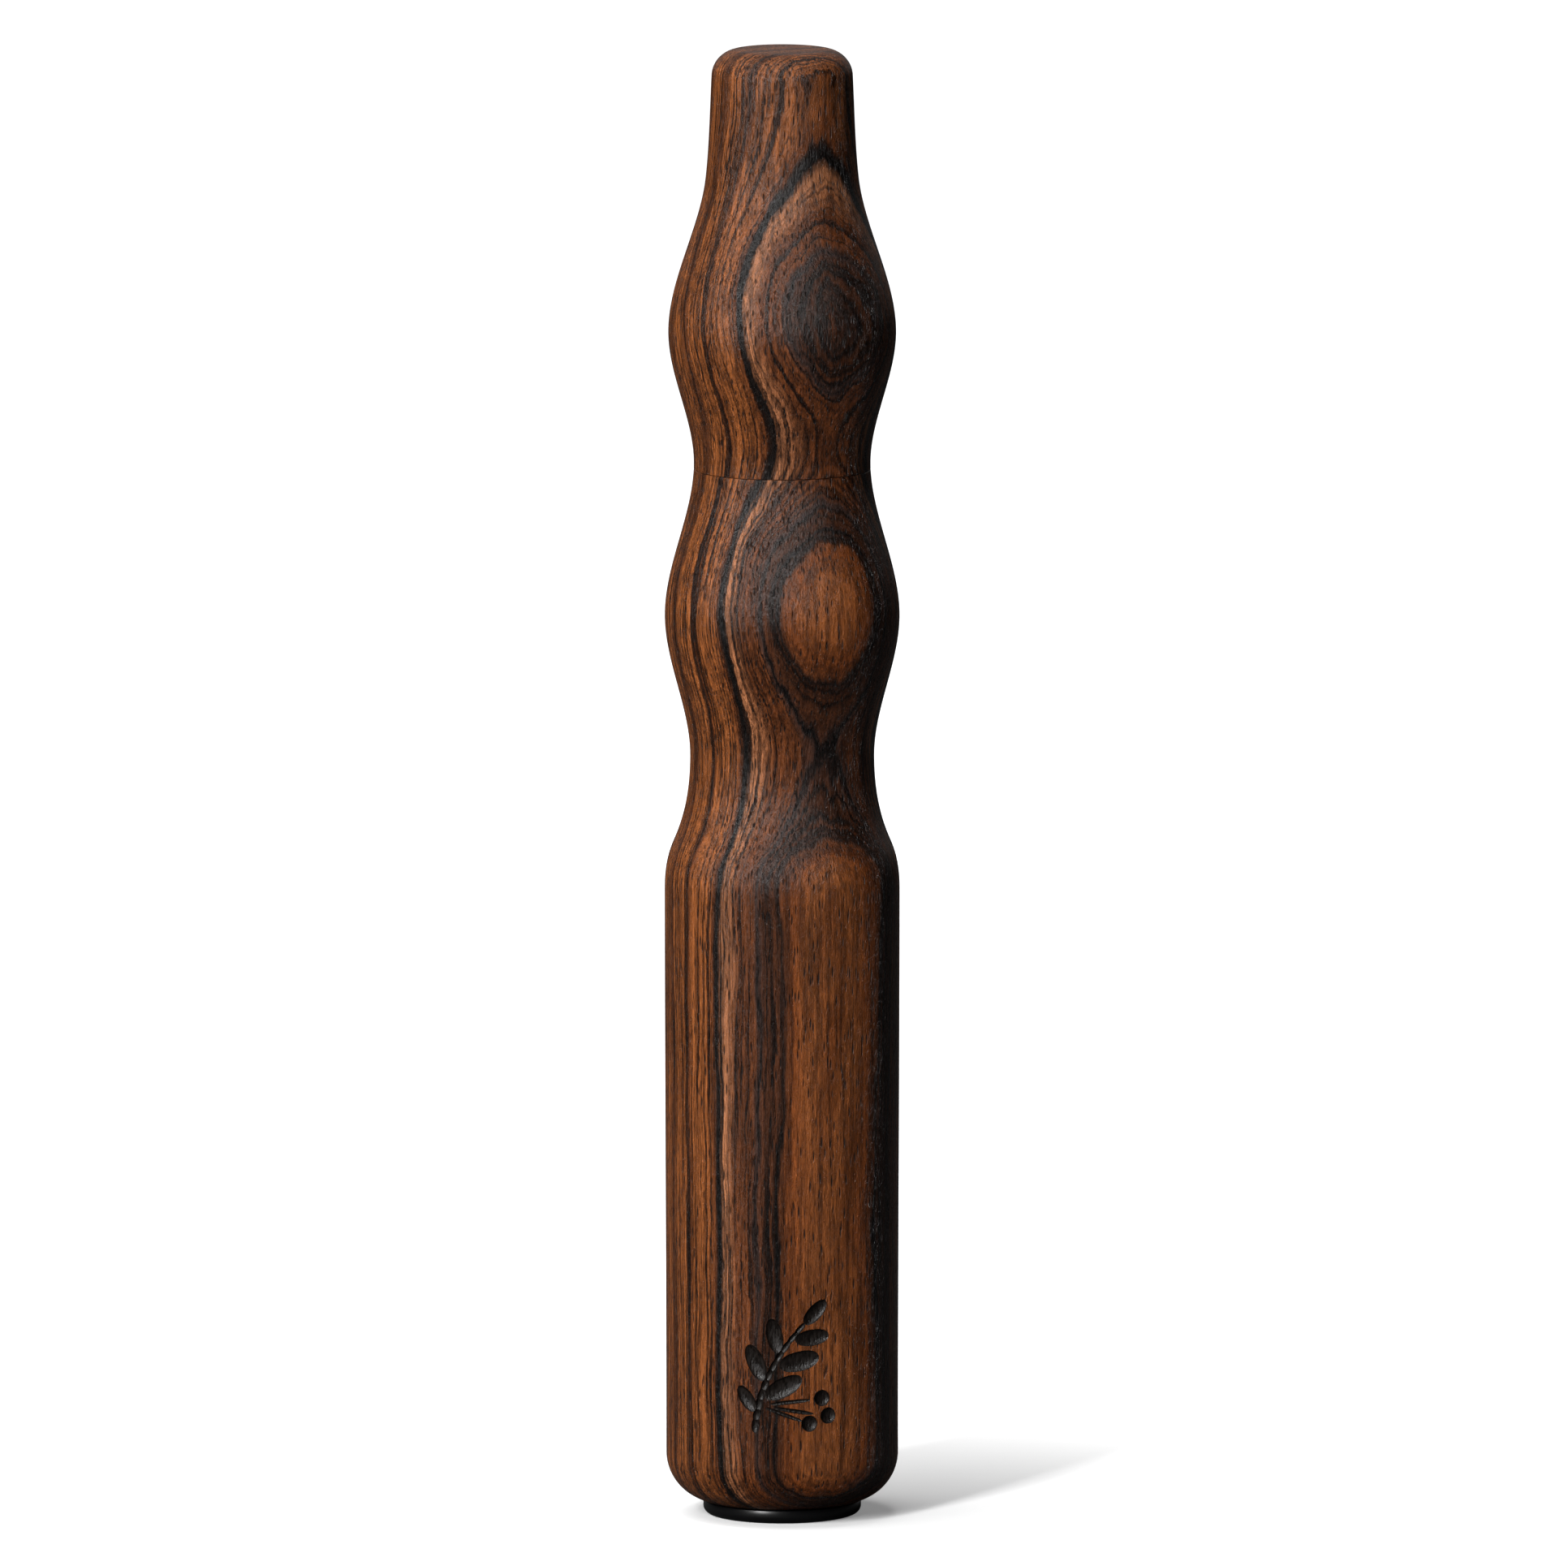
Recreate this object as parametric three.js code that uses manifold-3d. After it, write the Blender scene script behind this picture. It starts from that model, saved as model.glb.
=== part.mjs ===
// A turned hardwood pepper mill that stands on the adjusting ring of its ceramic grinding mechanism.
// Millimetres, +Z up. The origin is the centre of the ring's underside, on the surface the mill stands on.
// The head turns on the barrel and lifts off for filling. It drives a six-sided shaft that runs down
// through the peppercorn chamber to a ceramic cone. Turning the ring raises the cone inside the fixed
// outer burr.

import * as THREE from "three";
import { mergeVertices } from "three/addons/utils/BufferGeometryUtils.js";
import Module from "manifold-3d";

const wasm = await Module();
wasm.setup();

// ---------------------------------------------------------------- driving sizes

// Clearances.
const RUN_GAP = 0.35; // between pieces that turn or slide past each other
const FIT_GAP = 0.3; // between pieces that are pressed, snapped or screwed together
const SEAM_GAP = 0.1; // between the head and the barrel, where the two end grains run on each other
const LIFT_GAP = 0.5; // round the end screw's head, which the lifter and washer slide past

// Turned outline, from the floor up. Each stretch has its own length.
const STANDING_HEIGHT = 3.7; // the ring holds the wood this far off the floor
const FOOT_ROUNDING = 13.5;
const BARREL_LENGTH = 171.1; // wood underside to the shoulder
const SHOULDER_BREAK = 13.3; // shoulder to the middle of its slope
const SHOULDER_RUN = 24.5; // middle of the slope to the lower cove
const LOWER_COVE_TO_BEAD = 38.1;
const LOWER_BEAD_TO_COVE = 42.6;
const UPPER_COVE_TO_BEAD = 36.7;
const UPPER_BEAD_TO_NECK = 42.7;
const NECK_LENGTH = 27.9;
const TOP_ROUNDING = 7.4;

// Radii of the turned outline.
const FOOT_RADIUS = 32.1; // where the foot rounding meets the barrel
const BARREL_RADIUS = 32.5;
const SLOPE_RADIUS = 30; // middle of the shoulder's slope
const SLOPE_STEEPNESS = -0.447; // change of radius with height there
const LOWER_COVE_RADIUS = 25.45;
const LOWER_BEAD_RADIUS = 32.5;
const UPPER_COVE_RADIUS = 24.4;
const UPPER_BEAD_RADIUS = 31.5;
const NECK_RADIUS = 21.1;
const NECK_TAPER = -0.108;
const TOP_RADIUS = 19.5;

// Parting of head and barrel.
const SEAM_BELOW_COVE = 1.8; // under the narrowest point of the upper cove
const TENON_RADIUS = 17.9;
const TENON_LENGTH = 11;
const TENON_FLOOR_GAP = 1.5; // under the tenon

// Bores in the barrel.
const CHAMBER_RADIUS = 15;
const MECHANISM_BORE_HEIGHT = 58; // floor to the step between mechanism bore and chamber
const RECESS_TOP = 13.5; // floor to the seat of the mechanism's flange

// Shaft, its socket in the head and what is on it.
const SHAFT_FLATS = 7;
const SHAFT_BOTTOM = 9;
const SHAFT_ABOVE_SEAM = 28;
const SHAFT_POINT = 1.5; // height of the chamfer that leads the shaft into the socket
const SOCKET_RADIUS = 11;
const SOCKET_BARB = 0.25; // the socket's barbs stand this far out
const SOCKET_BARB_RAMP = 1.5; // each barb rises over this height
const SOCKET_CHAMFER = 1;
const SOCKET_FLANGE_RADIUS = 13.7;
const SOCKET_FLANGE = 2.3;
const SOCKET_LENGTH = 46;
const SOCKET_ROOF = 2;
const END_SCREW_OVERHANG = 0.8; // how far its head reaches past the flats of the driver's hole
const END_SCREW_HEAD = 2.2;
const END_SCREW_RIM = 0.8; // straight part of the head's edge
const END_SCREW_KEY = 2; // across the flats of its hexagon socket
const END_SCREW_KEY_DEPTH = 1.2;
const END_SCREW_SHANK_RADIUS = 1.35;
const END_SCREW_SHANK = 8;

// Adjusting ring.
const RING_INSET = 0.15; // inside the edge of the housing's flange
const RING_ROUNDING = 2.2;
const RING_EDGE = 0.3; // chamfer of its upper edge
const RING_TOP = 3.8;
const SLEEVE_RADIUS = 16.8;
const SLEEVE_WALL = 1.6;
const SLEEVE_TOP = 12.8;
const SLEEVE_MOUTH = 0.6; // chamfer of its bore at the bottom
const SNAP_GROOVE_BOTTOM = 6.95;
const SNAP_GROOVE_HEIGHT = 1;
const SNAP_GROOVE_DEPTH = 0.7;
const SNAP_SEAT_DEPTH = 0.6; // of the matching groove in the housing's boss
const SNAP_RING_ENTRY = 0.4; // how far the snap ring reaches into it
const SNAP_RING_LOOSENESS = 0.15; // under and over the snap ring in its groove
const SNAP_RING_OPENING = 0.16; // half the opening, in radians

// Cam slots in the sleeve: a turn of CAM_SWEEP lifts the lifter by CAM_RISE.
const CAM_SWEEP = THREE.MathUtils.degToRad(75);
const CAM_RISE = 1.2;
const LUGS = 3;
const LUG_WIDTH = 2.6;
const LUG_HEIGHT = 1.2;
const LUG_BOTTOM = 9.6;
const SLOT_LOOSENESS = 0.2; // under and over a lug in its slot
const SLOT_END_ROOM = 0.03; // radians past the lug at each end of its slot

// Burr lifter.
const LIFTER_BOTTOM = 8.6;
const LIFTER_HEIGHT = 2.4;
const LIFTER_HUB_WALL = 2.5;
const LIFTER_RIM = 1.2; // width of its rim
const SPOKE_WIDTH = 3.2;
const SPOKE_DROP = 0.4; // the spokes are this much lower than the rim

// Housing.
const TUBE_STEP = 0.4; // the tube stands this far outside the boss's bore
const TUBE_WALL = 2;
const FLANGE_WIDTH = 3.7; // outside the boss
const FLANGE_BOTTOM = 9.9;
const FLANGE_TOP = 13.2;
const BOSS_BOTTOM = 6.2;
const BOSS_WALL = 1.2;
const KEYWAY_ROOF = 0.4; // left over each keyway
const LOWER_HOUSING_TOP = 34;
const LAP_LENGTH = 3.5; // the cap's skirt laps the tube this far
const LAP_DEPTH = 1.3;
const BURR_STOP_WIDTH = 1.3;
const BURR_STOP_HEIGHT = 2;
const CAP_TOP = 54;
const CAP_PLATE = 4;
const CAP_RING = 2.7;
const CAP_WALL = 2.6;
const CAP_HUB_WALL = 2.6;
const CAP_LEG = 5; // width of a leg
const CAP_ARM = 3.5; // width of an arm between hub and ring
const CAP_ARM_DROP = 0.4; // the arms are this much lower than the ring
const HUB_BELOW_PLATE = 2.5;
const FLANGE_SCREWS = 3;
const SCREW_HEAD_RADIUS = 1.3;
const SCREW_SHANK_RADIUS = 0.95;
const SCREW_LENGTH = 12;
const SCREW_HEAD = 1.2;
const SCREW_POINT = 2;
const SCREW_SLOT = 0.45;
const SCREW_SLOT_DEPTH = 0.55;

// Ceramic burrs. The gap is between crests of the teeth, in the fine zone at the bottom.
const BURR_GAP = 0.55;
const BURR_TEETH = 24;
const TOOTH_DEPTH = 0.5;
const TOOTH_TWIST = 0.02; // radians for each millimetre of height
const BURR_BOTTOM = 14.5;
const FINE_ZONE = 5.5;
const CONE_HEIGHT = 17;
const OUTER_BURR_WALL = 2.05; // at its thinnest
const FINE_TAPER = 1.2; // the cone narrows this much over the fine zone
const COARSE_TAPER = 2.8; // and this much above it
const MOUTH_WIDENING = 0.6; // the outer burr opens this much towards its mouth
const CONE_SHOULDER = 0.8; // height of the smooth chamfer on top of the cone

// Driver, washer, bush, clip and spring.
const WASHER_THICKNESS = 0.8;
const WASHER_WIDTH = 2.3;
const DRIVER_WALL = 1.6; // outside the corners of its hole
const DRIVER_FLANGE_WIDTH = 3.5;
const DRIVER_ABOVE_CONE = 1.5;
const BUSH_FLANGE_WIDTH = 1.8;
const BUSH_FLANGE = 1.7;
const CLIP_WIDTH = 2.4; // outside the corners of its hole
const CLIP_THICKNESS = 0.8;
const SPRING_WIRE_RADIUS = 0.5;
const SPRING_TURNS = 5;
const SPRING_ROOM = 0.2; // between the wire and the driver, beyond the usual gap

// Fineness of the round surfaces.
const WOOD_SEGMENTS = 44;
const SEGMENTS = 40;
const SMALL_SEGMENTS = 20;
const SCREW_SEGMENTS = 12;

// How far a cutting shape reaches past the surface it cuts, so that no skin is left.
const CUT_PAST = 1;

// ---------------------------------------------------------------- sizes that follow

const shoulderZ = STANDING_HEIGHT + BARREL_LENGTH;
const slopeZ = shoulderZ + SHOULDER_BREAK;
const lowerCoveZ = slopeZ + SHOULDER_RUN;
const lowerBeadZ = lowerCoveZ + LOWER_COVE_TO_BEAD;
const upperCoveZ = lowerBeadZ + LOWER_BEAD_TO_COVE;
const upperBeadZ = upperCoveZ + UPPER_COVE_TO_BEAD;
const neckZ = upperBeadZ + UPPER_BEAD_TO_NECK;
const topEdgeZ = neckZ + NECK_LENGTH;
const height = topEdgeZ + TOP_ROUNDING;
const seamZ = upperCoveZ - SEAM_BELOW_COVE;

// Shaft and what is keyed to it.
const hexHole = SHAFT_FLATS + 2 * FIT_GAP;
const hexCorner = SHAFT_FLATS / Math.sqrt(3);
const hexHoleCorner = hexHole / Math.sqrt(3);
const shaftTop = seamZ + SHAFT_ABOVE_SEAM;
const driverRadius = hexHoleCorner + DRIVER_WALL;
const driverFlangeRadius = driverRadius + DRIVER_FLANGE_WIDTH;
const bushRadius = driverRadius;
const bushFlangeRadius = bushRadius + BUSH_FLANGE_WIDTH;
const endScrewRadius = hexHole / 2 + END_SCREW_OVERHANG;
const liftedBore = endScrewRadius + LIFT_GAP;

// Sleeve, boss, flange and tube, from the sleeve outwards.
const sleeveBore = SLEEVE_RADIUS - SLEEVE_WALL;
const bossBore = SLEEVE_RADIUS + FIT_GAP;
const bossRadius = bossBore + BOSS_WALL;
const flangeRadius = bossRadius + FLANGE_WIDTH;
const recessRadius = flangeRadius + FIT_GAP;
const ringRadius = flangeRadius - RING_INSET;
const screwCircle = (bossRadius + flangeRadius) / 2;
const tubeRadius = bossBore + TUBE_STEP;
const tubeBore = tubeRadius - TUBE_WALL;
const mechanismBore = tubeRadius + FIT_GAP;
const lugReach = bossRadius - 0.1; // the lugs run in keyways cut right through the boss

// Burrs, from the tube inwards, and the stack from the lifter up.
const outerBurrRadius = tubeBore - FIT_GAP;
const coneBaseRadius = outerBurrRadius - OUTER_BURR_WALL - BURR_GAP;
const coneWaistRadius = coneBaseRadius - FINE_TAPER;
const coneTopRadius = coneWaistRadius - COARSE_TAPER;
const coneTop = BURR_BOTTOM + CONE_HEIGHT;
const lifterTop = LIFTER_BOTTOM + LIFTER_HEIGHT;
const washerZ = lifterTop + FIT_GAP;
const driverZ = washerZ + WASHER_THICKNESS + FIT_GAP;
const bushBore = bushRadius + RUN_GAP;
const bushTop = CAP_TOP + FIT_GAP;
const bushFlangeTop = CAP_TOP - CAP_PLATE - HUB_BELOW_PLATE - FIT_GAP;
const bushBottom = bushFlangeTop - BUSH_FLANGE;

// ---------------------------------------------------------------- materials

const finish = (color, roughness, metalness = 0) =>
  new THREE.MeshStandardMaterial({ color, roughness, metalness });
const hardwood = finish(0x5a3018, 0.45);
const blackPlastic = finish(0x0b0b0c, 0.4);
const acetal = finish(0xe6e2d6, 0.5);
const alloy = finish(0xb9bcc0, 0.35, 1);
const steel = finish(0x8f9296, 0.3, 1);
const ceramic = finish(0xe9e2cf, 0.55);

// ---------------------------------------------------------------- shaping helpers

// Turns the triangles round if the closed surface is inside out.
function facingOut(geometry) {
  const bare = new THREE.BufferGeometry().setAttribute("position", geometry.attributes.position);
  const closed = mergeVertices(bare.setIndex(geometry.index), 1e-4);
  const [a, b, c] = [0, 1, 2].map(() => new THREE.Vector3());
  const index = closed.index.array;
  let sixVolumes = 0;
  for (let i = 0; i < index.length; i += 3) {
    [a, b, c].forEach((v, k) => v.fromBufferAttribute(closed.attributes.position, index[i + k]));
    sixVolumes += a.dot(b.cross(c));
  }
  if (sixVolumes < 0) index.reverse();
  return closed;
}

function solidOf(geometry) {
  const closed = facingOut(geometry);
  return new wasm.Manifold(
    new wasm.Mesh({
      numProp: 3,
      vertProperties: closed.attributes.position.array,
      triVerts: new Uint32Array(closed.index.array),
    }),
  );
}

function geometryOf(solid) {
  const { vertProperties, triVerts } = solid.getMesh();
  return new THREE.BufferGeometry()
    .setAttribute("position", new THREE.BufferAttribute(new Float32Array(vertProperties), 3))
    .setIndex(new THREE.BufferAttribute(new Uint32Array(triVerts), 1));
}

// A round piece from its closed outline of [radius, height] points.
function turned(outline, segments = SEGMENTS) {
  const points = outline.map(([r, z]) => new THREE.Vector2(r, z));
  if (outline[0][0] > 0) points.push(points[0].clone());
  return facingOut(new THREE.LatheGeometry(points, segments).rotateX(Math.PI / 2));
}

// A straight ring or disc, the commonest turned outline.
const ring = (inner, outer, low, high, segments) =>
  turned([[inner, low], [outer, low], [outer, high], [inner, high]], segments);

// A flat shape raised from one height to another.
function raised(shape, low, high) {
  const geometry = new THREE.ExtrudeGeometry(shape, { depth: high - low, bevelEnabled: false });
  return facingOut(geometry.translate(0, 0, low));
}

function hexagon(acrossFlats) {
  const corner = acrossFlats / Math.sqrt(3);
  const points = Array.from({ length: 6 }, (_, i) => (i * Math.PI) / 3);
  return new THREE.Shape(points.map((a) => new THREE.Vector2(corner * Math.cos(a), corner * Math.sin(a))));
}

// A block that lies along the radius at an angle, from one radius to another.
function radialBlock(inner, outer, width, low, high, angle) {
  return new THREE.BoxGeometry(outer - inner, width, high - low)
    .translate((inner + outer) / 2, 0, (low + high) / 2)
    .rotateZ(angle);
}

// Joins closed rows of points into one surface. A ring of rows closes on itself, and an open run gets
// flat ends.
function skin(rows, closed) {
  const count = rows[0].length;
  const index = [];
  const spans = closed ? rows.length : rows.length - 1;
  for (let i = 0; i < spans; i++) {
    for (let j = 0; j < count; j++) {
      const [p, q] = [i * count, ((i + 1) % rows.length) * count];
      const k = (j + 1) % count;
      index.push(p + j, q + j, q + k, p + j, q + k, p + k);
    }
  }
  if (!closed) {
    const last = (rows.length - 1) * count;
    for (let j = 1; j < count - 1; j++) {
      index.push(0, j, j + 1, last, last + j + 1, last + j);
    }
  }
  const geometry = new THREE.BufferGeometry().setFromPoints(rows.flat());
  return facingOut(geometry.setIndex(index));
}

// A turned outline with teeth cut along part of it. Each station is [radius, height, tooth depth]. The
// teeth twist as they climb, and where the depth is 0 the surface is smooth and has no twist.
function toothed(stations) {
  const steps = 2 * BURR_TEETH;
  const rows = Array.from({ length: steps }, (_, j) =>
    stations.map(([radius, z, depth]) => {
      const r = radius + (j % 2 ? depth / 2 : -depth / 2);
      const twist = depth ? TOOTH_TWIST * (z - BURR_BOTTOM) : 0;
      const angle = (j * Math.PI) / BURR_TEETH + twist;
      return new THREE.Vector3(r * Math.cos(angle), r * Math.sin(angle), z);
    }),
  );
  return skin(rows, true);
}

// Angles evenly spaced round the axis.
const around = (count, start = 0) =>
  Array.from({ length: count }, (_, i) => start + (i * 2 * Math.PI) / count);

function piece(name, geometry, material) {
  const mesh = new THREE.Mesh(geometry, material);
  mesh.name = name;
  return mesh;
}

// ---------------------------------------------------------------- the turned outline

// A smooth stretch of outline between two stations, each with a radius and a slope.
function stretch(from, to, steps) {
  const length = to.z - from.z;
  return Array.from({ length: steps }, (_, i) => {
    const t = (i + 1) / steps;
    const [t2, t3] = [t * t, t * t * t];
    const radius =
      (2 * t3 - 3 * t2 + 1) * from.r +
      (t3 - 2 * t2 + t) * length * from.slope +
      (3 * t2 - 2 * t3) * to.r +
      (t3 - t2) * length * to.slope;
    return [radius, from.z + t * length];
  });
}

const station = (z, r, slope = 0) => ({ z, r, slope });
const footEdge = station(STANDING_HEIGHT + FOOT_ROUNDING, FOOT_RADIUS);
const shoulder = station(shoulderZ, BARREL_RADIUS);
const slope = station(slopeZ, SLOPE_RADIUS, SLOPE_STEEPNESS);
const lowerCove = station(lowerCoveZ, LOWER_COVE_RADIUS);
const lowerBead = station(lowerBeadZ, LOWER_BEAD_RADIUS);
const upperCove = station(upperCoveZ, UPPER_COVE_RADIUS);
const upperBead = station(upperBeadZ, UPPER_BEAD_RADIUS);
const neck = station(neckZ, NECK_RADIUS, NECK_TAPER);
const topEdge = station(topEdgeZ, TOP_RADIUS, NECK_TAPER);

// The parting falls between the lower bead and the upper cove.
function seamRadius() {
  const t = (seamZ - lowerBeadZ) / LOWER_BEAD_TO_COVE;
  const share = t * t * (3 - 2 * t);
  return LOWER_BEAD_RADIUS + share * (UPPER_COVE_RADIUS - LOWER_BEAD_RADIUS);
}

// The foot is an arc from the edge of the recess up to the barrel.
function footOutline() {
  const centre = FOOT_RADIUS - FOOT_ROUNDING;
  const start = Math.acos((recessRadius - centre) / FOOT_ROUNDING);
  const steps = 6;
  return Array.from({ length: steps + 1 }, (_, i) => {
    const angle = start * (1 - i / steps);
    return [centre + FOOT_ROUNDING * Math.cos(angle), footEdge.z - FOOT_ROUNDING * Math.sin(angle)];
  });
}

function topOutline() {
  const centre = TOP_RADIUS - TOP_ROUNDING;
  const steps = 5;
  return Array.from({ length: steps }, (_, i) => {
    const angle = ((i + 1) / steps) * (Math.PI / 2);
    return [centre + TOP_ROUNDING * Math.cos(angle), topEdgeZ + TOP_ROUNDING * Math.sin(angle)];
  });
}

// ---------------------------------------------------------------- wooden barrel and head

function barrelWood() {
  const socketRadius = TENON_RADIUS + RUN_GAP;
  const socketFloor = seamZ - TENON_LENGTH - TENON_FLOOR_GAP;
  const outside = [
    ...footOutline(),
    ...stretch(footEdge, shoulder, 2),
    ...stretch(shoulder, slope, 3),
    ...stretch(slope, lowerCove, 4),
    ...stretch(lowerCove, lowerBead, 6),
    ...stretch(lowerBead, upperCove, 7).filter(([, z]) => z < seamZ - 1),
    [seamRadius(), seamZ],
  ];
  const bore = [
    [socketRadius, seamZ],
    [socketRadius, socketFloor],
    [CHAMBER_RADIUS, socketFloor],
    [CHAMBER_RADIUS, MECHANISM_BORE_HEIGHT],
    [mechanismBore, MECHANISM_BORE_HEIGHT],
    [mechanismBore, RECESS_TOP],
    [recessRadius, RECESS_TOP],
  ];
  const pilotRadius = SCREW_SHANK_RADIUS + FIT_GAP;
  const pilotTop = FLANGE_BOTTOM + SCREW_LENGTH + 1;
  return around(FLANGE_SCREWS, Math.PI / 2).reduce((wood, angle) => {
    const pilot = raisedRound(pilotRadius, RECESS_TOP - CUT_PAST, pilotTop);
    pilot.translate(screwCircle * Math.cos(angle), screwCircle * Math.sin(angle), 0);
    return wood.subtract(solidOf(pilot));
  }, solidOf(turned([...outside, ...bore], WOOD_SEGMENTS)));
}

// An upright peg, used as the shape of a drilled hole.
function raisedRound(radius, low, high) {
  return new THREE.CylinderGeometry(radius, radius, high - low, 10)
    .rotateX(Math.PI / 2)
    .translate(0, 0, (low + high) / 2);
}

function headWood() {
  const bottom = seamZ + SEAM_GAP;
  const tenonEnd = bottom - TENON_LENGTH;
  const flangeSeat = tenonEnd + SOCKET_FLANGE + FIT_GAP;
  const boreTop = tenonEnd + SOCKET_LENGTH + FIT_GAP;
  const boreRadius = SOCKET_RADIUS + SOCKET_BARB + FIT_GAP;
  const flangeBore = SOCKET_FLANGE_RADIUS + FIT_GAP;
  const outside = [
    [seamRadius(), bottom],
    ...stretch(station(bottom, seamRadius()), upperCove, 1),
    ...stretch(upperCove, upperBead, 6),
    ...stretch(upperBead, neck, 8),
    ...stretch(neck, topEdge, 2),
    ...topOutline(),
  ];
  const inside = [
    [0, height],
    [0, boreTop],
    [boreRadius, boreTop],
    [boreRadius, flangeSeat],
    [flangeBore, flangeSeat],
    [flangeBore, tenonEnd],
    [TENON_RADIUS, tenonEnd],
    [TENON_RADIUS, bottom],
  ];
  return turnedSolid(outside, inside);
}

// The head's outline begins and ends on the axis, so it is put in that order before it is turned.
function turnedSolid(outside, inside) {
  const [top, roof, ...bore] = inside;
  return turned([roof, ...bore, ...outside, top], WOOD_SEGMENTS);
}

// ---------------------------------------------------------------- head socket and shaft

function headSocket() {
  const bottom = seamZ + SEAM_GAP - TENON_LENGTH;
  const top = bottom + SOCKET_LENGTH;
  const flangeTop = bottom + SOCKET_FLANGE;
  const barbs = [0.35, 0.6, 0.85].flatMap((share) => {
    const z = flangeTop + share * (top - flangeTop);
    return [
      [SOCKET_RADIUS, z - SOCKET_BARB_RAMP],
      [SOCKET_RADIUS + SOCKET_BARB, z],
      [SOCKET_RADIUS, z + 0.1],
    ];
  });
  const body = turned(
    [
      [0, bottom],
      [SOCKET_FLANGE_RADIUS, bottom],
      [SOCKET_FLANGE_RADIUS, flangeTop],
      [SOCKET_RADIUS, flangeTop],
      ...barbs,
      [SOCKET_RADIUS, top - SOCKET_CHAMFER],
      [SOCKET_RADIUS - SOCKET_CHAMFER, top],
      [0, top],
    ],
    SMALL_SEGMENTS,
  );
  const hole = raised(hexagon(hexHole), bottom - CUT_PAST, top - SOCKET_ROOF);
  return solidOf(body).subtract(solidOf(hole));
}

function driveShaft() {
  const bar = solidOf(raised(hexagon(SHAFT_FLATS), SHAFT_BOTTOM, shaftTop));
  const clear = hexCorner + CUT_PAST;
  const chamfer = turned(
    [
      [0, SHAFT_BOTTOM - CUT_PAST],
      [clear, SHAFT_BOTTOM - CUT_PAST],
      [clear, shaftTop - SHAFT_POINT],
      [clear - SHAFT_POINT - CUT_PAST, shaftTop + CUT_PAST],
      [0, shaftTop + CUT_PAST],
    ],
    SMALL_SEGMENTS,
  );
  const tapped = raisedRound(
    END_SCREW_SHANK_RADIUS + FIT_GAP,
    SHAFT_BOTTOM - CUT_PAST,
    SHAFT_BOTTOM + END_SCREW_SHANK + 1,
  );
  return bar.intersect(solidOf(chamfer)).subtract(solidOf(tapped));
}

// A button-head screw in the lower end of the shaft keeps the driver on it.
function shaftEndScrew() {
  const headTop = SHAFT_BOTTOM - FIT_GAP;
  const headBottom = headTop - END_SCREW_HEAD;
  const body = turned(
    [
      [0, headBottom],
      [endScrewRadius - 1.2, headBottom],
      [endScrewRadius - 0.3, headBottom + 0.6],
      [endScrewRadius, headTop - END_SCREW_RIM],
      [endScrewRadius, headTop],
      [END_SCREW_SHANK_RADIUS, headTop],
      [END_SCREW_SHANK_RADIUS, SHAFT_BOTTOM + END_SCREW_SHANK],
      [0, SHAFT_BOTTOM + END_SCREW_SHANK],
    ],
    SMALL_SEGMENTS,
  );
  const key = raised(
    hexagon(END_SCREW_KEY),
    headBottom - CUT_PAST,
    headBottom + END_SCREW_KEY_DEPTH,
  );
  return solidOf(body).subtract(solidOf(key));
}

// ---------------------------------------------------------------- adjusting ring, snap ring and lifter

const slotBottom = (turn) => LUG_BOTTOM - SLOT_LOOSENESS + CAM_RISE * turn;

// A slot that climbs round the sleeve. The ring turns anticlockwise, seen from above, so the slot climbs
// the other way and carries the lug upwards.
function camSlot(angle) {
  const halfLug = LUG_WIDTH / 2 / sleeveBore + SLOT_END_ROOM;
  const slotHeight = LUG_HEIGHT + 2 * SLOT_LOOSENESS;
  const inner = sleeveBore - CUT_PAST;
  const outer = SLEEVE_RADIUS + CUT_PAST;
  const steps = 8;
  const section = (at, turn) => {
    const low = slotBottom(turn);
    const high = low + slotHeight;
    const corners = [[inner, low], [outer, low], [outer, high], [inner, high]];
    return corners.map(([r, z]) => new THREE.Vector3(r * Math.cos(at), r * Math.sin(at), z));
  };
  const rows = [section(angle + halfLug, 0)];
  for (let i = 0; i <= steps; i++) {
    rows.push(section(angle - (i / steps) * CAM_SWEEP, i / steps));
  }
  rows.push(section(angle - CAM_SWEEP - halfLug, 1));
  return skin(rows, false);
}

function adjustingRing() {
  const roundSteps = 4;
  const rounding = Array.from({ length: roundSteps + 1 }, (_, i) => {
    const angle = (i / roundSteps) * (Math.PI / 2);
    return [
      ringRadius - RING_ROUNDING * (1 - Math.sin(angle)),
      RING_ROUNDING * (1 - Math.cos(angle)),
    ];
  });
  const grooveTop = SNAP_GROOVE_BOTTOM + SNAP_GROOVE_HEIGHT;
  const body = turned([
    ...rounding,
    [ringRadius, RING_TOP - RING_EDGE],
    [ringRadius - RING_EDGE, RING_TOP],
    [SLEEVE_RADIUS, RING_TOP],
    [SLEEVE_RADIUS, SNAP_GROOVE_BOTTOM],
    [SLEEVE_RADIUS - SNAP_GROOVE_DEPTH, SNAP_GROOVE_BOTTOM],
    [SLEEVE_RADIUS - SNAP_GROOVE_DEPTH, grooveTop],
    [SLEEVE_RADIUS, grooveTop],
    [SLEEVE_RADIUS, SLEEVE_TOP],
    [sleeveBore, SLEEVE_TOP],
    [sleeveBore, SLEEVE_MOUTH],
    [sleeveBore + SLEEVE_MOUTH, 0],
  ]);
  const slots = around(LUGS).map((angle) => solidOf(camSlot(angle)));
  return slots.reduce((made, slot) => made.subtract(slot), solidOf(body));
}

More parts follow.
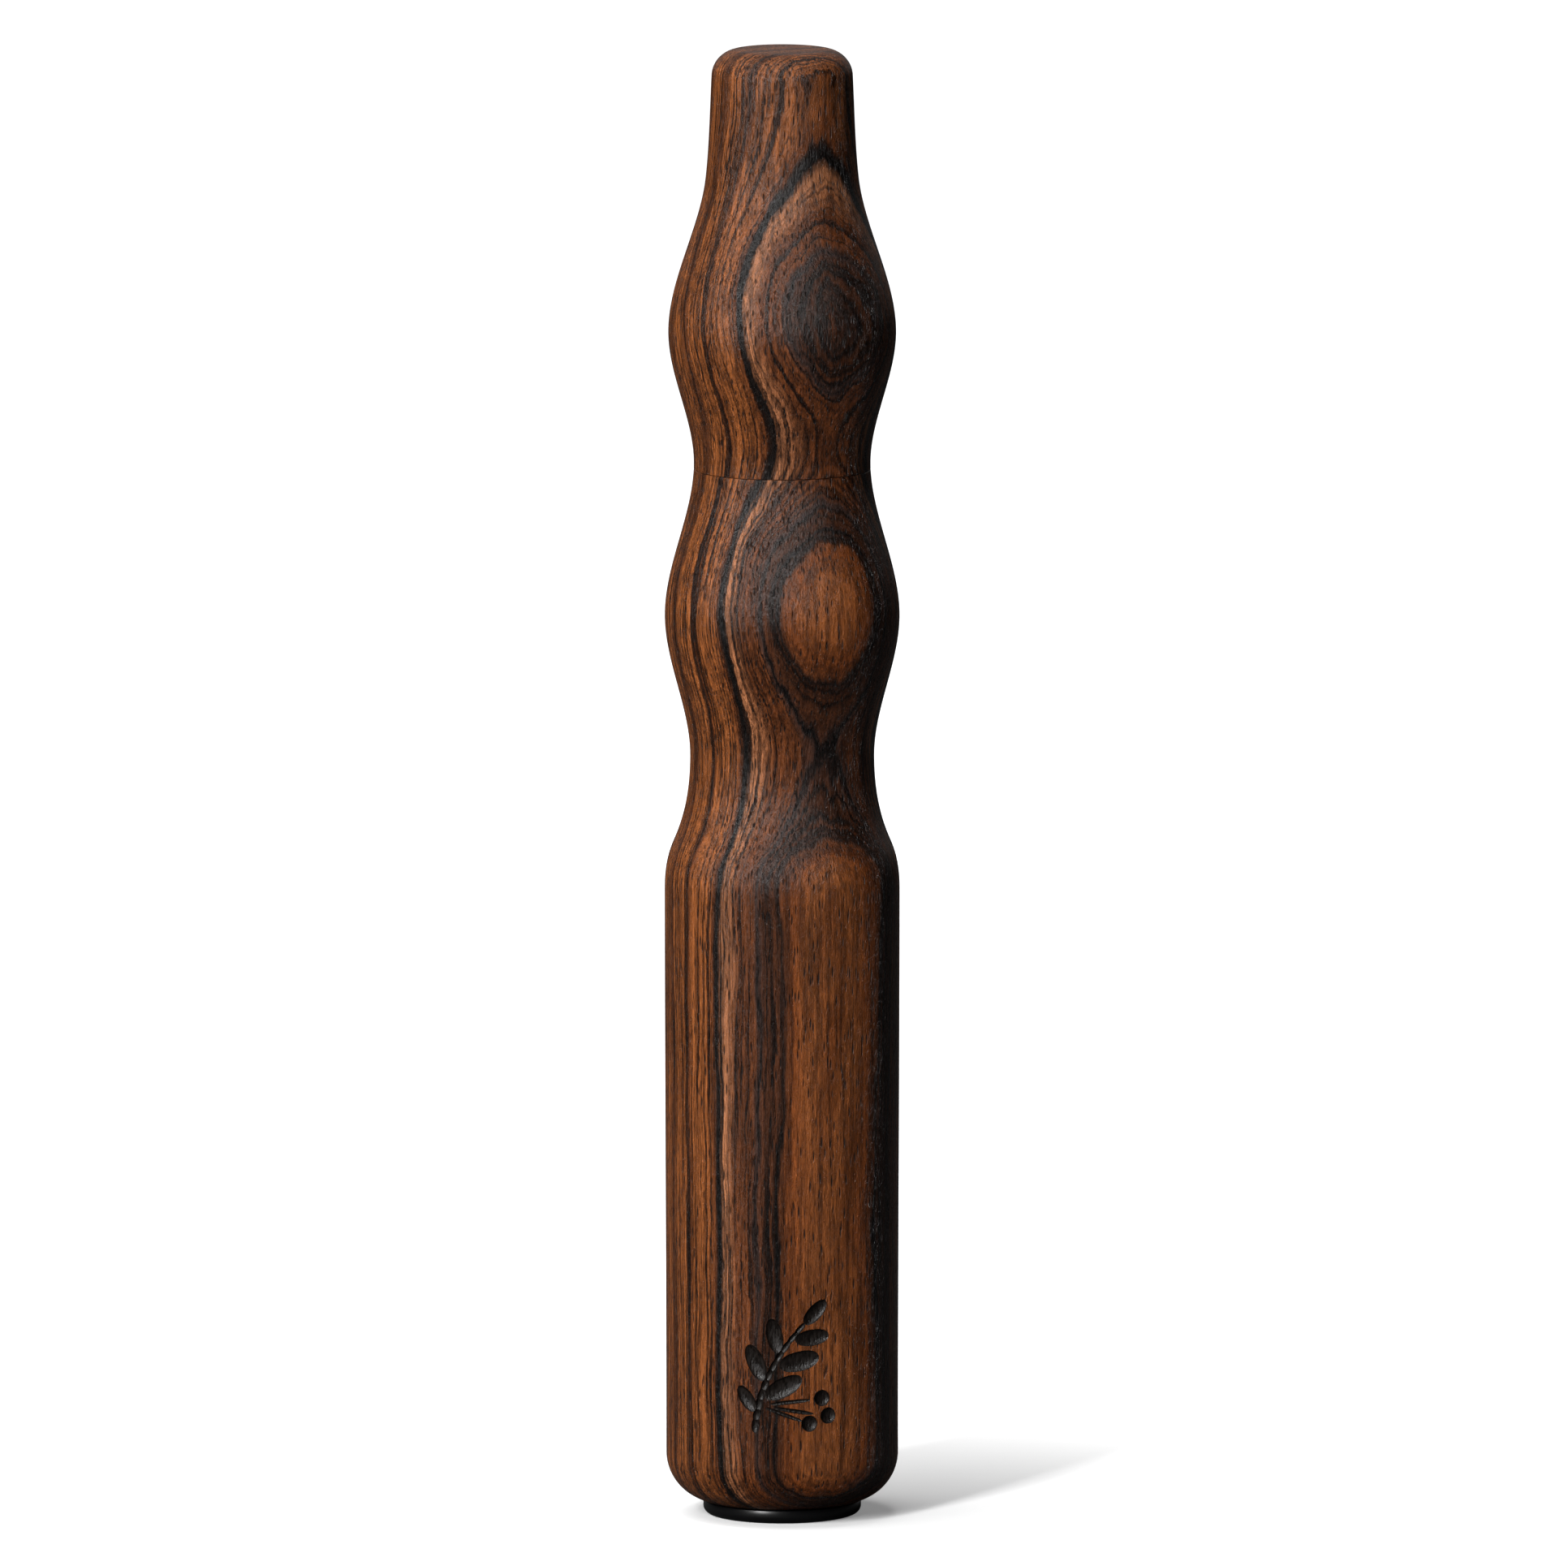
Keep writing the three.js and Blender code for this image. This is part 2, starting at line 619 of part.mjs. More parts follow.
// A split wire ring that sits half in the sleeve's groove and half in the boss's.
function snapRing() {
  const inner = SLEEVE_RADIUS - SNAP_GROOVE_DEPTH + FIT_GAP;
  const outer = bossBore + SNAP_RING_ENTRY;
  const start = SNAP_RING_OPENING;
  const end = 2 * Math.PI - SNAP_RING_OPENING;
  const shape = new THREE.Shape();
  shape.absarc(0, 0, outer, start, end, false);
  shape.absarc(0, 0, inner, end, start, true);
  const geometry = new THREE.ExtrudeGeometry(shape, {
    depth: SNAP_GROOVE_HEIGHT - 2 * SNAP_RING_LOOSENESS,
    bevelEnabled: false,
    curveSegments: SEGMENTS / 2,
  });
  geometry.rotateZ(Math.PI / 2).translate(0, 0, SNAP_GROOVE_BOTTOM + SNAP_RING_LOOSENESS);
  return facingOut(geometry);
}

// A hub on three spokes in a rim. Its lugs pass through the cam slots into the housing's keyways.
function burrLifter() {
  const rimOuter = sleeveBore - RUN_GAP;
  const rimInner = rimOuter - LIFTER_RIM;
  const hubRadius = liftedBore + LIFTER_HUB_WALL;
  const rim = solidOf(ring(rimInner, rimOuter, LIFTER_BOTTOM, lifterTop));
  const hub = solidOf(ring(liftedBore, hubRadius, LIFTER_BOTTOM, lifterTop, SMALL_SEGMENTS));
  return around(LUGS).reduce((made, angle) => {
    const spoke = radialBlock(
      hubRadius - 1,
      rimInner + 0.5,
      SPOKE_WIDTH,
      LIFTER_BOTTOM,
      lifterTop - SPOKE_DROP,
      angle,
    );
    const lug = radialBlock(
      rimOuter - 0.5,
      lugReach,
      LUG_WIDTH,
      LUG_BOTTOM,
      LUG_BOTTOM + LUG_HEIGHT,
      angle,
    );
    return made.add(solidOf(spoke)).add(solidOf(lug));
  }, rim.add(hub));
}

// ---------------------------------------------------------------- housing

// Flange, boss and tube in one moulding, with keyways for the lifter's lugs and countersunk screw holes.
function lowerHousing() {
  const snapOuter = bossBore + SNAP_SEAT_DEPTH;
  const grooveTop = SNAP_GROOVE_BOTTOM + SNAP_GROOVE_HEIGHT;
  const lapRadius = tubeRadius - LAP_DEPTH;
  const lapBottom = LOWER_HOUSING_TOP - LAP_LENGTH;
  const stopRadius = tubeBore - BURR_STOP_WIDTH;
  const stopBottom = LOWER_HOUSING_TOP - BURR_STOP_HEIGHT;
  const body = turned([
    [bossBore, BOSS_BOTTOM],
    [bossRadius, BOSS_BOTTOM],
    [bossRadius, FLANGE_BOTTOM],
    [flangeRadius, FLANGE_BOTTOM],
    [flangeRadius, FLANGE_TOP],
    [tubeRadius, FLANGE_TOP],
    [tubeRadius, lapBottom],
    [lapRadius, lapBottom],
    [lapRadius, LOWER_HOUSING_TOP],
    [stopRadius, LOWER_HOUSING_TOP],
    [stopRadius, stopBottom],
    [tubeBore, stopBottom],
    [tubeBore, FLANGE_TOP],
    [bossBore, FLANGE_TOP],
    [bossBore, grooveTop],
    [snapOuter, grooveTop],
    [snapOuter, SNAP_GROOVE_BOTTOM],
    [bossBore, SNAP_GROOVE_BOTTOM],
  ]);
  const keyed = around(LUGS).reduce((made, angle) => {
    const keyway = radialBlock(
      bossBore - CUT_PAST,
      bossRadius + 0.3,
      LUG_WIDTH + 2 * RUN_GAP,
      BOSS_BOTTOM - CUT_PAST,
      FLANGE_TOP - KEYWAY_ROOF,
      angle,
    );
    return made.subtract(solidOf(keyway));
  }, solidOf(body));
  return around(FLANGE_SCREWS, Math.PI / 2).reduce((made, angle) => {
    const hole = turned(screwOutline(FIT_GAP, FLANGE_TOP + CUT_PAST), SCREW_SEGMENTS);
    hole.translate(screwCircle * Math.cos(angle), screwCircle * Math.sin(angle), 0);
    return made.subtract(solidOf(hole));
  }, keyed);
}

// Outline of a countersunk screw, or with a gap, of the hole it sits in.
function screwOutline(gap, top) {
  const headBottom = FLANGE_BOTTOM + (gap ? -CUT_PAST : 0.1);
  return [
    [0, headBottom],
    [SCREW_HEAD_RADIUS + gap, headBottom],
    [SCREW_HEAD_RADIUS + gap, FLANGE_BOTTOM + 0.3],
    [SCREW_SHANK_RADIUS + gap, FLANGE_BOTTOM + SCREW_HEAD],
    [SCREW_SHANK_RADIUS + gap, top],
    [0, top],
  ];
}

function flangeScrew() {
  const tip = FLANGE_BOTTOM + SCREW_LENGTH;
  const outline = screwOutline(0, tip - SCREW_POINT);
  const body = turned([...outline.slice(0, -1), [0, tip]], SCREW_SEGMENTS);
  const slotEnd = SCREW_HEAD_RADIUS + CUT_PAST;
  const slot = radialBlock(
    -slotEnd,
    slotEnd,
    SCREW_SLOT,
    FLANGE_BOTTOM - CUT_PAST,
    FLANGE_BOTTOM + SCREW_SLOT_DEPTH,
    0,
  );
  return solidOf(body).subtract(solidOf(slot));
}

// A cage over the burrs: a skirt and ring, three legs, and a top plate whose hub carries the shaft's bush.
function housingCap() {
  const innerRadius = tubeRadius - CAP_WALL;
  const ringBottom = LOWER_HOUSING_TOP + FIT_GAP;
  const ringTop = ringBottom + CAP_RING;
  const skirtBottom = LOWER_HOUSING_TOP - LAP_LENGTH + FIT_GAP;
  const plateBottom = CAP_TOP - CAP_PLATE;
  const hubRadius = bushBore + CAP_HUB_WALL;
  const hubBottom = bushFlangeTop + FIT_GAP;
  const skirt = turned([
    [tubeRadius - LAP_DEPTH + FIT_GAP, skirtBottom],
    [tubeRadius, skirtBottom],
    [tubeRadius, ringTop],
    [innerRadius, ringTop],
    [innerRadius, ringBottom],
    [tubeRadius - LAP_DEPTH + FIT_GAP, ringBottom],
  ]);
  const topRing = ring(innerRadius, tubeRadius, plateBottom, CAP_TOP);
  const hub = ring(bushBore, hubRadius, hubBottom, CAP_TOP, SMALL_SEGMENTS);
  const start = solidOf(skirt).add(solidOf(topRing)).add(solidOf(hub));
  return around(LUGS, Math.PI / 2).reduce((made, angle) => {
    const leg = radialBlock(
      innerRadius + 0.3,
      tubeRadius - 0.4,
      CAP_LEG,
      ringTop - 1,
      plateBottom + 1,
      angle,
    );
    const arm = radialBlock(
      hubRadius - 0.8,
      innerRadius + 0.5,
      CAP_ARM,
      plateBottom,
      CAP_TOP - CAP_ARM_DROP,
      angle,
    );
    return made.add(solidOf(leg)).add(solidOf(arm));
  }, start);
}

// ---------------------------------------------------------------- burrs, driver and what carries them

function innerBurr() {
  const bore = driverRadius + FIT_GAP;
  const fineTop = BURR_BOTTOM + FINE_ZONE;
  const mean = (crest) => crest - TOOTH_DEPTH / 2;
  return toothed([
    [bore, BURR_BOTTOM, 0],
    [mean(coneBaseRadius), BURR_BOTTOM, TOOTH_DEPTH],
    [mean(coneWaistRadius), fineTop, TOOTH_DEPTH],
    [mean((coneWaistRadius + coneTopRadius) / 2), (fineTop + coneTop) / 2, TOOTH_DEPTH * 2],
    [mean(coneTopRadius), coneTop - CONE_SHOULDER, TOOTH_DEPTH],
    [coneTopRadius - CONE_SHOULDER, coneTop, 0],
    [bore, coneTop, 0],
  ]);
}

function outerBurr() {
  const top = LOWER_HOUSING_TOP - BURR_STOP_HEIGHT - FIT_GAP;
  const fineTop = BURR_BOTTOM + FINE_ZONE;
  const mean = (crest) => crest + TOOTH_DEPTH / 2;
  return toothed([
    [outerBurrRadius, BURR_BOTTOM, 0],
    [outerBurrRadius, top, 0],
    [mean(coneWaistRadius + BURR_GAP + MOUTH_WIDENING), top, TOOTH_DEPTH],
    [mean(coneWaistRadius + BURR_GAP), fineTop, TOOTH_DEPTH],
    [mean(coneBaseRadius + BURR_GAP), BURR_BOTTOM, TOOTH_DEPTH],
  ]);
}

// A flanged sleeve keyed to the shaft. The cone is seated on its flange.
function burrDriver() {
  const flangeTop = BURR_BOTTOM - FIT_GAP;
  const body = turned(
    [
      [0, driverZ],
      [driverFlangeRadius, driverZ],
      [driverFlangeRadius, flangeTop],
      [driverRadius, flangeTop],
      [driverRadius, coneTop + DRIVER_ABOVE_CONE],
      [0, coneTop + DRIVER_ABOVE_CONE],
    ],
    SMALL_SEGMENTS,
  );
  const driverTop = coneTop + DRIVER_ABOVE_CONE;
  const hole = raised(hexagon(hexHole), driverZ - CUT_PAST, driverTop + CUT_PAST);
  return solidOf(body).subtract(solidOf(hole));
}

function thrustWasher() {
  const washerTop = washerZ + WASHER_THICKNESS;
  return ring(liftedBore, liftedBore + WASHER_WIDTH, washerZ, washerTop, SMALL_SEGMENTS);
}

function shaftBush() {
  const body = turned(
    [
      [0, bushBottom],
      [bushFlangeRadius, bushBottom],
      [bushFlangeRadius, bushFlangeTop],
      [bushRadius, bushFlangeTop],
      [bushRadius, bushTop],
      [0, bushTop],
    ],
    SMALL_SEGMENTS,
  );
  const hole = raised(hexagon(hexHole), bushBottom - CUT_PAST, bushTop + CUT_PAST);
  return solidOf(body).subtract(solidOf(hole));
}

// A push-on clip above the bush. Cuts at the corners of its hole leave tongues that grip the shaft.
function shaftClip() {
  const bottom = bushTop + FIT_GAP;
  const top = bottom + CLIP_THICKNESS;
  const radius = hexHoleCorner + CLIP_WIDTH;
  const [under, over] = [bottom - CUT_PAST, top + CUT_PAST];
  const disc = solidOf(ring(0, radius, bottom, top, SMALL_SEGMENTS));
  const hole = solidOf(raised(hexagon(hexHole), under, over));
  return around(6).reduce((made, angle) => {
    const cut = radialBlock(hexCorner - 0.5, hexCorner + 1.3, 0.8, under, over, angle);
    return made.subtract(solidOf(cut));
  }, disc.subtract(hole));
}

// The spring stands on the cone and bears on the bush's flange.
function burrSpring() {
  const low = coneTop + FIT_GAP + SPRING_WIRE_RADIUS;
  const high = bushBottom - FIT_GAP - SPRING_WIRE_RADIUS;
  const radius = driverRadius + FIT_GAP + SPRING_WIRE_RADIUS + SPRING_ROOM;
  class Helix extends THREE.Curve {
    getPoint(t) {
      const angle = t * SPRING_TURNS * 2 * Math.PI;
      const z = low + t * (high - low);
      return new THREE.Vector3(radius * Math.cos(angle), radius * Math.sin(angle), z);
    }
  }
  const wire = new THREE.Shape().absarc(0, 0, SPRING_WIRE_RADIUS, 0, 2 * Math.PI, false);
  const geometry = new THREE.ExtrudeGeometry(wire, {
    steps: SPRING_TURNS * 12,
    curveSegments: 3,
    extrudePath: new Helix(),
    bevelEnabled: false,
  });
  return facingOut(geometry);
}

// ---------------------------------------------------------------- the assembly

const millBody = new THREE.Group();
millBody.add(
  piece("barrel_wood", geometryOf(barrelWood()), hardwood),
  piece("housing_lower", geometryOf(lowerHousing()), blackPlastic),
  piece("housing_cap", geometryOf(housingCap()), blackPlastic),
  piece("outer_burr", outerBurr(), ceramic),
  piece("snap_ring", snapRing(), steel),
);
around(FLANGE_SCREWS, Math.PI / 2).forEach((angle, i) => {
  const screw = piece(`flange_screw_${i + 1}`, geometryOf(flangeScrew()), steel);
  screw.position.set(screwCircle * Math.cos(angle), screwCircle * Math.sin(angle), 0);
  screw.rotation.z = angle;
  millBody.add(screw);
});

const head = new THREE.Group();
head.add(
  piece("head_wood", headWood(), hardwood),
  piece("head_socket", geometryOf(headSocket()), acetal),
);

const drive = new THREE.Group();
drive.add(
  piece("drive_shaft", geometryOf(driveShaft()), alloy),
  piece("shaft_bush", geometryOf(shaftBush()), acetal),
  piece("shaft_clip", geometryOf(shaftClip()), steel),
  piece("shaft_end_screw", geometryOf(shaftEndScrew()), steel),
);

const grindingCone = new THREE.Group();
grindingCone.add(
  piece("inner_burr", innerBurr(), ceramic),
  piece("burr_driver", geometryOf(burrDriver()), acetal),
  piece("burr_spring", burrSpring(), steel),
);

const adjuster = new THREE.Group();
adjuster.add(piece("adjusting_ring", geometryOf(adjustingRing()), blackPlastic));

const lifter = new THREE.Group();
lifter.add(
  piece("burr_lifter", geometryOf(burrLifter()), blackPlastic),
  piece("thrust_washer", thrustWasher(), steel),
);

const mill = new THREE.Group();
mill.add(millBody, head, drive, grindingCone, adjuster, lifter);

export default mill;
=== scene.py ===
# %% [markdown]
# # A turned hardwood pepper mill
# The mill is a wooden barrel and a wooden head, both turned on a lathe, around a ceramic grinding
# mechanism. It stands on a black ring, and turning that ring sets how fine it grinds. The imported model
# gives every size and place, and this script makes the surfaces that a person sees: the wood with its
# figure, the carved mark near the foot, the ring, and the parts that show from below or with the head
# lifted off. It is written in cells, to be read from top to bottom.

import math

import bpy
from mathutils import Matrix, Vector


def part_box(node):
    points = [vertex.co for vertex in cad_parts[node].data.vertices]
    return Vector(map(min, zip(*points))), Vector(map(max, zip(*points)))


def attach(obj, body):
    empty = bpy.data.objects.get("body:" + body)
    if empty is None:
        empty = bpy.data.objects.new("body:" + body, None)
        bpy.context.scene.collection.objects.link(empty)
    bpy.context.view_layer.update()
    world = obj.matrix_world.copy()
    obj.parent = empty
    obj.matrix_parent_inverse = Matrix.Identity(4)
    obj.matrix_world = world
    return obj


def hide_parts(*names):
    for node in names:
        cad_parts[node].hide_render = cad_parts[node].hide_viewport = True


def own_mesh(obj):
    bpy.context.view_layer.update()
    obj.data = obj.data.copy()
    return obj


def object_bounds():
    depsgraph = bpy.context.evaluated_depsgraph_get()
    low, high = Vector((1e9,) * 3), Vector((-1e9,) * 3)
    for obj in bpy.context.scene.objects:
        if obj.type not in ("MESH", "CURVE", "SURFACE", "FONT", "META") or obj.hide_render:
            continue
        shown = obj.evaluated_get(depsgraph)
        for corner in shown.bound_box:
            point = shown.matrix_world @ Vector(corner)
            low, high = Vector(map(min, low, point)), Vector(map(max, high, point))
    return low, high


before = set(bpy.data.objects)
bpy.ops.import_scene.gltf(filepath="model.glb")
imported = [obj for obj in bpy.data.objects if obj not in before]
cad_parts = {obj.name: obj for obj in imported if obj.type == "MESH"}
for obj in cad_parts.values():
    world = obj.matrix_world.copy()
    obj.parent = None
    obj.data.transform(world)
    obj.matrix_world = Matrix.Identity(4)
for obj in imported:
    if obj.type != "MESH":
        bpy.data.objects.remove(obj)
CAD_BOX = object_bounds()
MM = 0.001

print("model box in metres:", [round(v, 4) for v in CAD_BOX[0]], [round(v, 4) for v in CAD_BOX[1]])

# %% [markdown]
# ## Camera
# A product picture of a tall, thin thing is taken with a long lens from far away, so that its sides stay
# parallel. A short lens close by would make them lean together, and an orthographic camera would lose the
# last of the depth. The camera stands nine metres in front of the mill and a little above it. The lens
# follows from the width that the picture should take in.

# %% Camera
CAMERA_DISTANCE = 9.0
CAMERA_ELEVATION = math.radians(8)
PICTURE_WIDTH = 0.4333
CAMERA_SIDESTEP = 0.0005

mill_middle = (CAD_BOX[0].z + CAD_BOX[1].z) / 2
camera_target = Vector((CAMERA_SIDESTEP, 0, mill_middle))
toward_camera = Vector((0, -math.cos(CAMERA_ELEVATION), math.sin(CAMERA_ELEVATION)))

camera_data = bpy.data.cameras.new("camera")
camera_data.sensor_width = 36
camera_data.lens = camera_data.sensor_width * CAMERA_DISTANCE / PICTURE_WIDTH
camera_data.clip_end = 60
camera = bpy.data.objects.new("camera", camera_data)
bpy.context.collection.objects.link(camera)
camera.location = camera_target + CAMERA_DISTANCE * toward_camera
camera.rotation_euler = (math.pi / 2 - CAMERA_ELEVATION, 0, 0)
bpy.context.scene.camera = camera
print("lens:", round(camera_data.lens), "mm")

# %% [markdown]
# ## Working by hand in code
# Every new piece starts as a primitive and is shaped with the tools of edit mode. An operator acts on
# whatever is selected, so the first helper clears the selection, and the others wrap the few moves that
# come back again and again.

# %% Helpers for edit mode
def deselect_all():
    if bpy.context.object and bpy.context.object.mode != "OBJECT":
        bpy.ops.object.mode_set(mode="OBJECT")
    bpy.ops.object.select_all(action="DESELECT")


def pick(piece):
    deselect_all()
    piece.select_set(True)
    bpy.context.view_layer.objects.active = piece


def settle(piece, name):
    """Names a piece and moves its place, turn and size into its mesh."""
    pick(piece)
    bpy.ops.object.transform_apply(location=True, rotation=True, scale=True)
    piece.name = name
    piece.data.name = name
    return piece


def apply_modifiers(piece):
    pick(piece)
    for modifier in list(piece.modifiers):
        bpy.ops.object.modifier_apply(modifier=modifier.name)


def smooth(piece, degrees=32):
    pick(piece)
    bpy.ops.object.shade_smooth_by_angle(angle=math.radians(degrees))


def report(piece):
    piece.data.calc_loop_triangles()
    low = [round(min(v.co[i] for v in piece.data.vertices) / MM, 1) for i in range(3)]
    high = [round(max(v.co[i] for v in piece.data.vertices) / MM, 1) for i in range(3)]
    print(f"{piece.name}: {len(piece.data.loop_triangles)} triangles, from {low} to {high} mm")


# %% [markdown]
# ## The lathe
# A turned piece is a profile swept round an axis. A Screw modifier could do the sweeping, but Spin is the
# nearest thing to a real lathe and works on the mesh itself. One corner of a plane is extruded from point
# to point to draw the profile, and Spin takes it round the Z axis. After a full turn the first and last
# copies lie on each other, so doubles are merged, and the normals are worked out again because Spin can
# leave them pointing in.

# %% The lathe
MERGE_DISTANCE = 0.002


def turn_on_lathe(name, profile, steps, closed=True):
    """Spins a profile of (radius, height) points, in metres. An open one begins and ends on the axis."""
    deselect_all()
    start = Vector((profile[0][0], 0, profile[0][1]))
    bpy.ops.mesh.primitive_plane_add(size=MM, location=start)
    piece = bpy.context.object
    bpy.ops.object.mode_set(mode="EDIT")
    bpy.ops.mesh.merge(type="CENTER")
    here = start
    for radius, height in [*profile[1:], *profile[: 1 if closed else 0]]:
        there = Vector((radius, 0, height))
        bpy.ops.mesh.extrude_region_move(TRANSFORM_OT_translate={"value": there - here})
        here = there
    bpy.ops.mesh.select_all(action="SELECT")
    bpy.ops.mesh.spin(steps=steps, angle=2 * math.pi, center=(0, 0, 0), axis=(0, 0, 1))
    bpy.ops.mesh.select_all(action="SELECT")
    bpy.ops.mesh.remove_doubles(threshold=MERGE_DISTANCE * MM)
    bpy.ops.mesh.normals_make_consistent(inside=False)
    bpy.ops.object.mode_set(mode="OBJECT")
    settle(piece, name)
    smooth(piece)
    return piece


# %% [markdown]
# ## The turner's template
# The outline is a string of stations: the foot, the shoulder, two coves, two beads, the neck and the top
# edge. Each has a height, a radius and a slope, and between two stations the tool follows a smooth
# S-curve. A curve drawn by eye would do as well, but stations can be checked with callipers, which is how
# a turner works. The heights and radii are the maker's sizes in millimetres, and the parting between head
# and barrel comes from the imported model.

# %% The turner's template
FOOT_ROUNDING = 13.5
FOOT = (17.2, 32.1, 0)
SHOULDER = (174.8, 32.5, 0)
SLOPE = (188.1, 30.0, -0.447)
LOWER_COVE = (212.0, 25.45, 0)
LOWER_BEAD = (250.9, 32.45, 0)
UPPER_COVE = (293.3, 24.4, 0)
UPPER_BEAD = (329.7, 31.45, 0)
NECK = (372.7, 21.1, -0.108)
TOP_EDGE = (400.6, 19.5, -0.05)
STATIONS = [FOOT, SHOULDER, SLOPE, LOWER_COVE, LOWER_BEAD, UPPER_COVE, UPPER_BEAD, NECK, TOP_EDGE]

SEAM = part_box("barrel_wood")[1].z / MM
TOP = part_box("head_wood")[1].z / MM


def outline_radius(height):
    """Radius of the turned outline at a height, all in millimetres."""
    if height < FOOT[0]:
        return FOOT[1] - FOOT_ROUNDING + math.sqrt(FOOT_ROUNDING**2 - (FOOT[0] - height) ** 2)
    for low, high in zip(STATIONS[:-1], STATIONS[1:]):
        if height <= high[0]:
            length = high[0] - low[0]
            t = (height - low[0]) / length
            ease = t * t * (3 - 2 * t)
            low_slope = t * (1 - t) ** 2 * length * low[2]
            high_slope = t * t * (t - 1) * length * high[2]
            return low[1] + ease * (high[1] - low[1]) + low_slope + high_slope
    rounding = TOP - TOP_EDGE[0]
    rise = min(height - TOP_EDGE[0], rounding)
    return TOP_EDGE[1] - rounding + math.sqrt(rounding**2 - rise**2)


def outline(low, high, step):
    """Points of the outline from one height to another, at about this spacing."""
    count = max(1, round((high - low) / step))
    heights = [low + (high - low) * i / count for i in range(count + 1)]
    return [(outline_radius(z), z) for z in heights]


def arc(centre, radius, start, end, steps):
    """Points of a round edge between two angles, which are measured upwards from level."""
    angles = [start + (end - start) * i / steps for i in range(steps + 1)]
    return [(centre[0] + radius * math.cos(a), centre[1] + radius * math.sin(a)) for a in angles]


def in_metres(points):
    return [(radius * MM, height * MM) for radius, height in points]


print("seam at", round(SEAM, 1), "mm, radius there", round(outline_radius(SEAM), 2), "mm")

# %% [markdown]
# ## Barrel
# The barrel is drilled in three sizes. The widest bore, at the foot, takes the flange of the mechanism,
# the next takes its housing, and the narrow one above is the chamber for the peppercorns. A shallow
# socket at the top receives the tenon of the head. The bores could be cut with Booleans, but they share
# the barrel's axis, so they are simply the inner side of one profile. Sharp edges of turned wood are
# always broken a little with sandpaper, which also makes the hairline at the parting show.

# %% Bores and edges
EDGE = 0.25
SEAM_EDGE = 0.14
SEAM_TAPER = 0.02
RECESS_RADIUS = 22.3
RECESS_TOP = 13.5
MECHANISM_BORE = 17.8
MECHANISM_BORE_TOP = 58.0
CHAMBER = 15.0
TENON_SOCKET = 18.25
TENON_SOCKET_DEPTH = 12.5
TENON_SOCKET_FLOOR = SEAM - TENON_SOCKET_DEPTH

foot_centre = (FOOT[1] - FOOT_ROUNDING, FOOT[0])
recess_angle = math.acos((RECESS_RADIUS + EDGE - foot_centre[0]) / FOOT_ROUNDING)
recess_bottom = foot_centre[1] - math.sqrt(FOOT_ROUNDING**2 - (RECESS_RADIUS - foot_centre[0]) ** 2)
print("the recess opens", round(recess_bottom, 2), "mm above the bottom of the foot")

# %% Turn the barrel
FOOT_ARC_STEPS = 22
STRAIGHT_STEP = 6.0
SHOULDER_STEP = 1.0
CURVE_STEP = 1.6
STRETCH_GAP = 1.2
WOOD_SPIN_STEPS = 176

barrel_profile = [
    (RECESS_RADIUS, recess_bottom + EDGE),
    *arc(foot_centre, FOOT_ROUNDING, -recess_angle, 0, FOOT_ARC_STEPS)[:-1],
    *outline(FOOT[0], SHOULDER[0] - STRAIGHT_STEP, STRAIGHT_STEP),
    *outline(SHOULDER[0] - STRAIGHT_STEP + SHOULDER_STEP, SLOPE[0], SHOULDER_STEP),
    *outline(SLOPE[0] + STRETCH_GAP, SEAM - STRETCH_GAP, CURVE_STEP),
    (outline_radius(SEAM - STRETCH_GAP / 2), SEAM - STRETCH_GAP / 2),
    (outline_radius(SEAM) - SEAM_TAPER, SEAM - SEAM_EDGE),
    (outline_radius(SEAM) - SEAM_EDGE, SEAM),
    (TENON_SOCKET + EDGE, SEAM),
    (TENON_SOCKET, SEAM - EDGE),
    (TENON_SOCKET, TENON_SOCKET_FLOOR),
    (CHAMBER + EDGE, TENON_SOCKET_FLOOR),
    (CHAMBER, TENON_SOCKET_FLOOR - EDGE),
    (CHAMBER, MECHANISM_BORE_TOP),
    (MECHANISM_BORE, MECHANISM_BORE_TOP),
    (MECHANISM_BORE, RECESS_TOP),
    (RECESS_RADIUS, RECESS_TOP),
]
barrel = turn_on_lathe("barrel", in_metres(barrel_profile), steps=WOOD_SPIN_STEPS)
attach(barrel, "mill_body")
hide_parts("barrel_wood")
report(barrel)

# %% [markdown]
# ## The carved mark
# A maker often marks a piece near its foot. Here it is a sprig of pepper: a stem, leaves in pairs and
# three corns, cut with gouges and then burnt black. Relief in the material alone would look flat from the
# side, so real hollows are cut. Each gouge cut is a long egg shape sunk halfway into the surface. Its
# place is given by how far it lies round the barrel and how high up, so the cuts follow the curve.

# %% Sizes of the sprig
MARK_CENTRE = (1.0, 43.0)
STEM = [(-8.5, -15.0), (-7.5, 1.0), (5.0, 14.5)]
STEM_CUTS = 11
STEM_CUT_LENGTH = 4.6
STEM_TIP_WIDTH = 1.5
STEM_SWELLING = 0.08
STEM_DEPTH = 0.8
LEAVES = [
    # share of the stem, side, length, width, angle from the stem in degrees
    (0.14, -1, 8.5, 4.0, 44),
    (0.28, 1, 12.5, 5.4, 48),
    (0.42, -1, 11.0, 5.0, 46),
    (0.58, 1, 13.0, 5.6, 50),
    (0.68, -1, 10.0, 4.6, 44),
    (0.84, 1, 10.5, 4.6, 46),
    (0.98, 1, 9.0, 4.2, 2),
]
LEAF_STALK = 0.9
LEAF_DEPTH = 1.05
CORNS = [(6.6, -13.2), (12.0, -11.2), (10.2, -6.2)]
CORN_RADIUS = 2.3
CORN_DEPTH = 1.1
CORN_STALK_ROOT = (-7.6, -8.0)
CORN_STALK_WIDTH = 1.2
CORN_STALK_DEPTH = 0.6
print(len(LEAVES), "leaves and", len(CORNS), "corns")


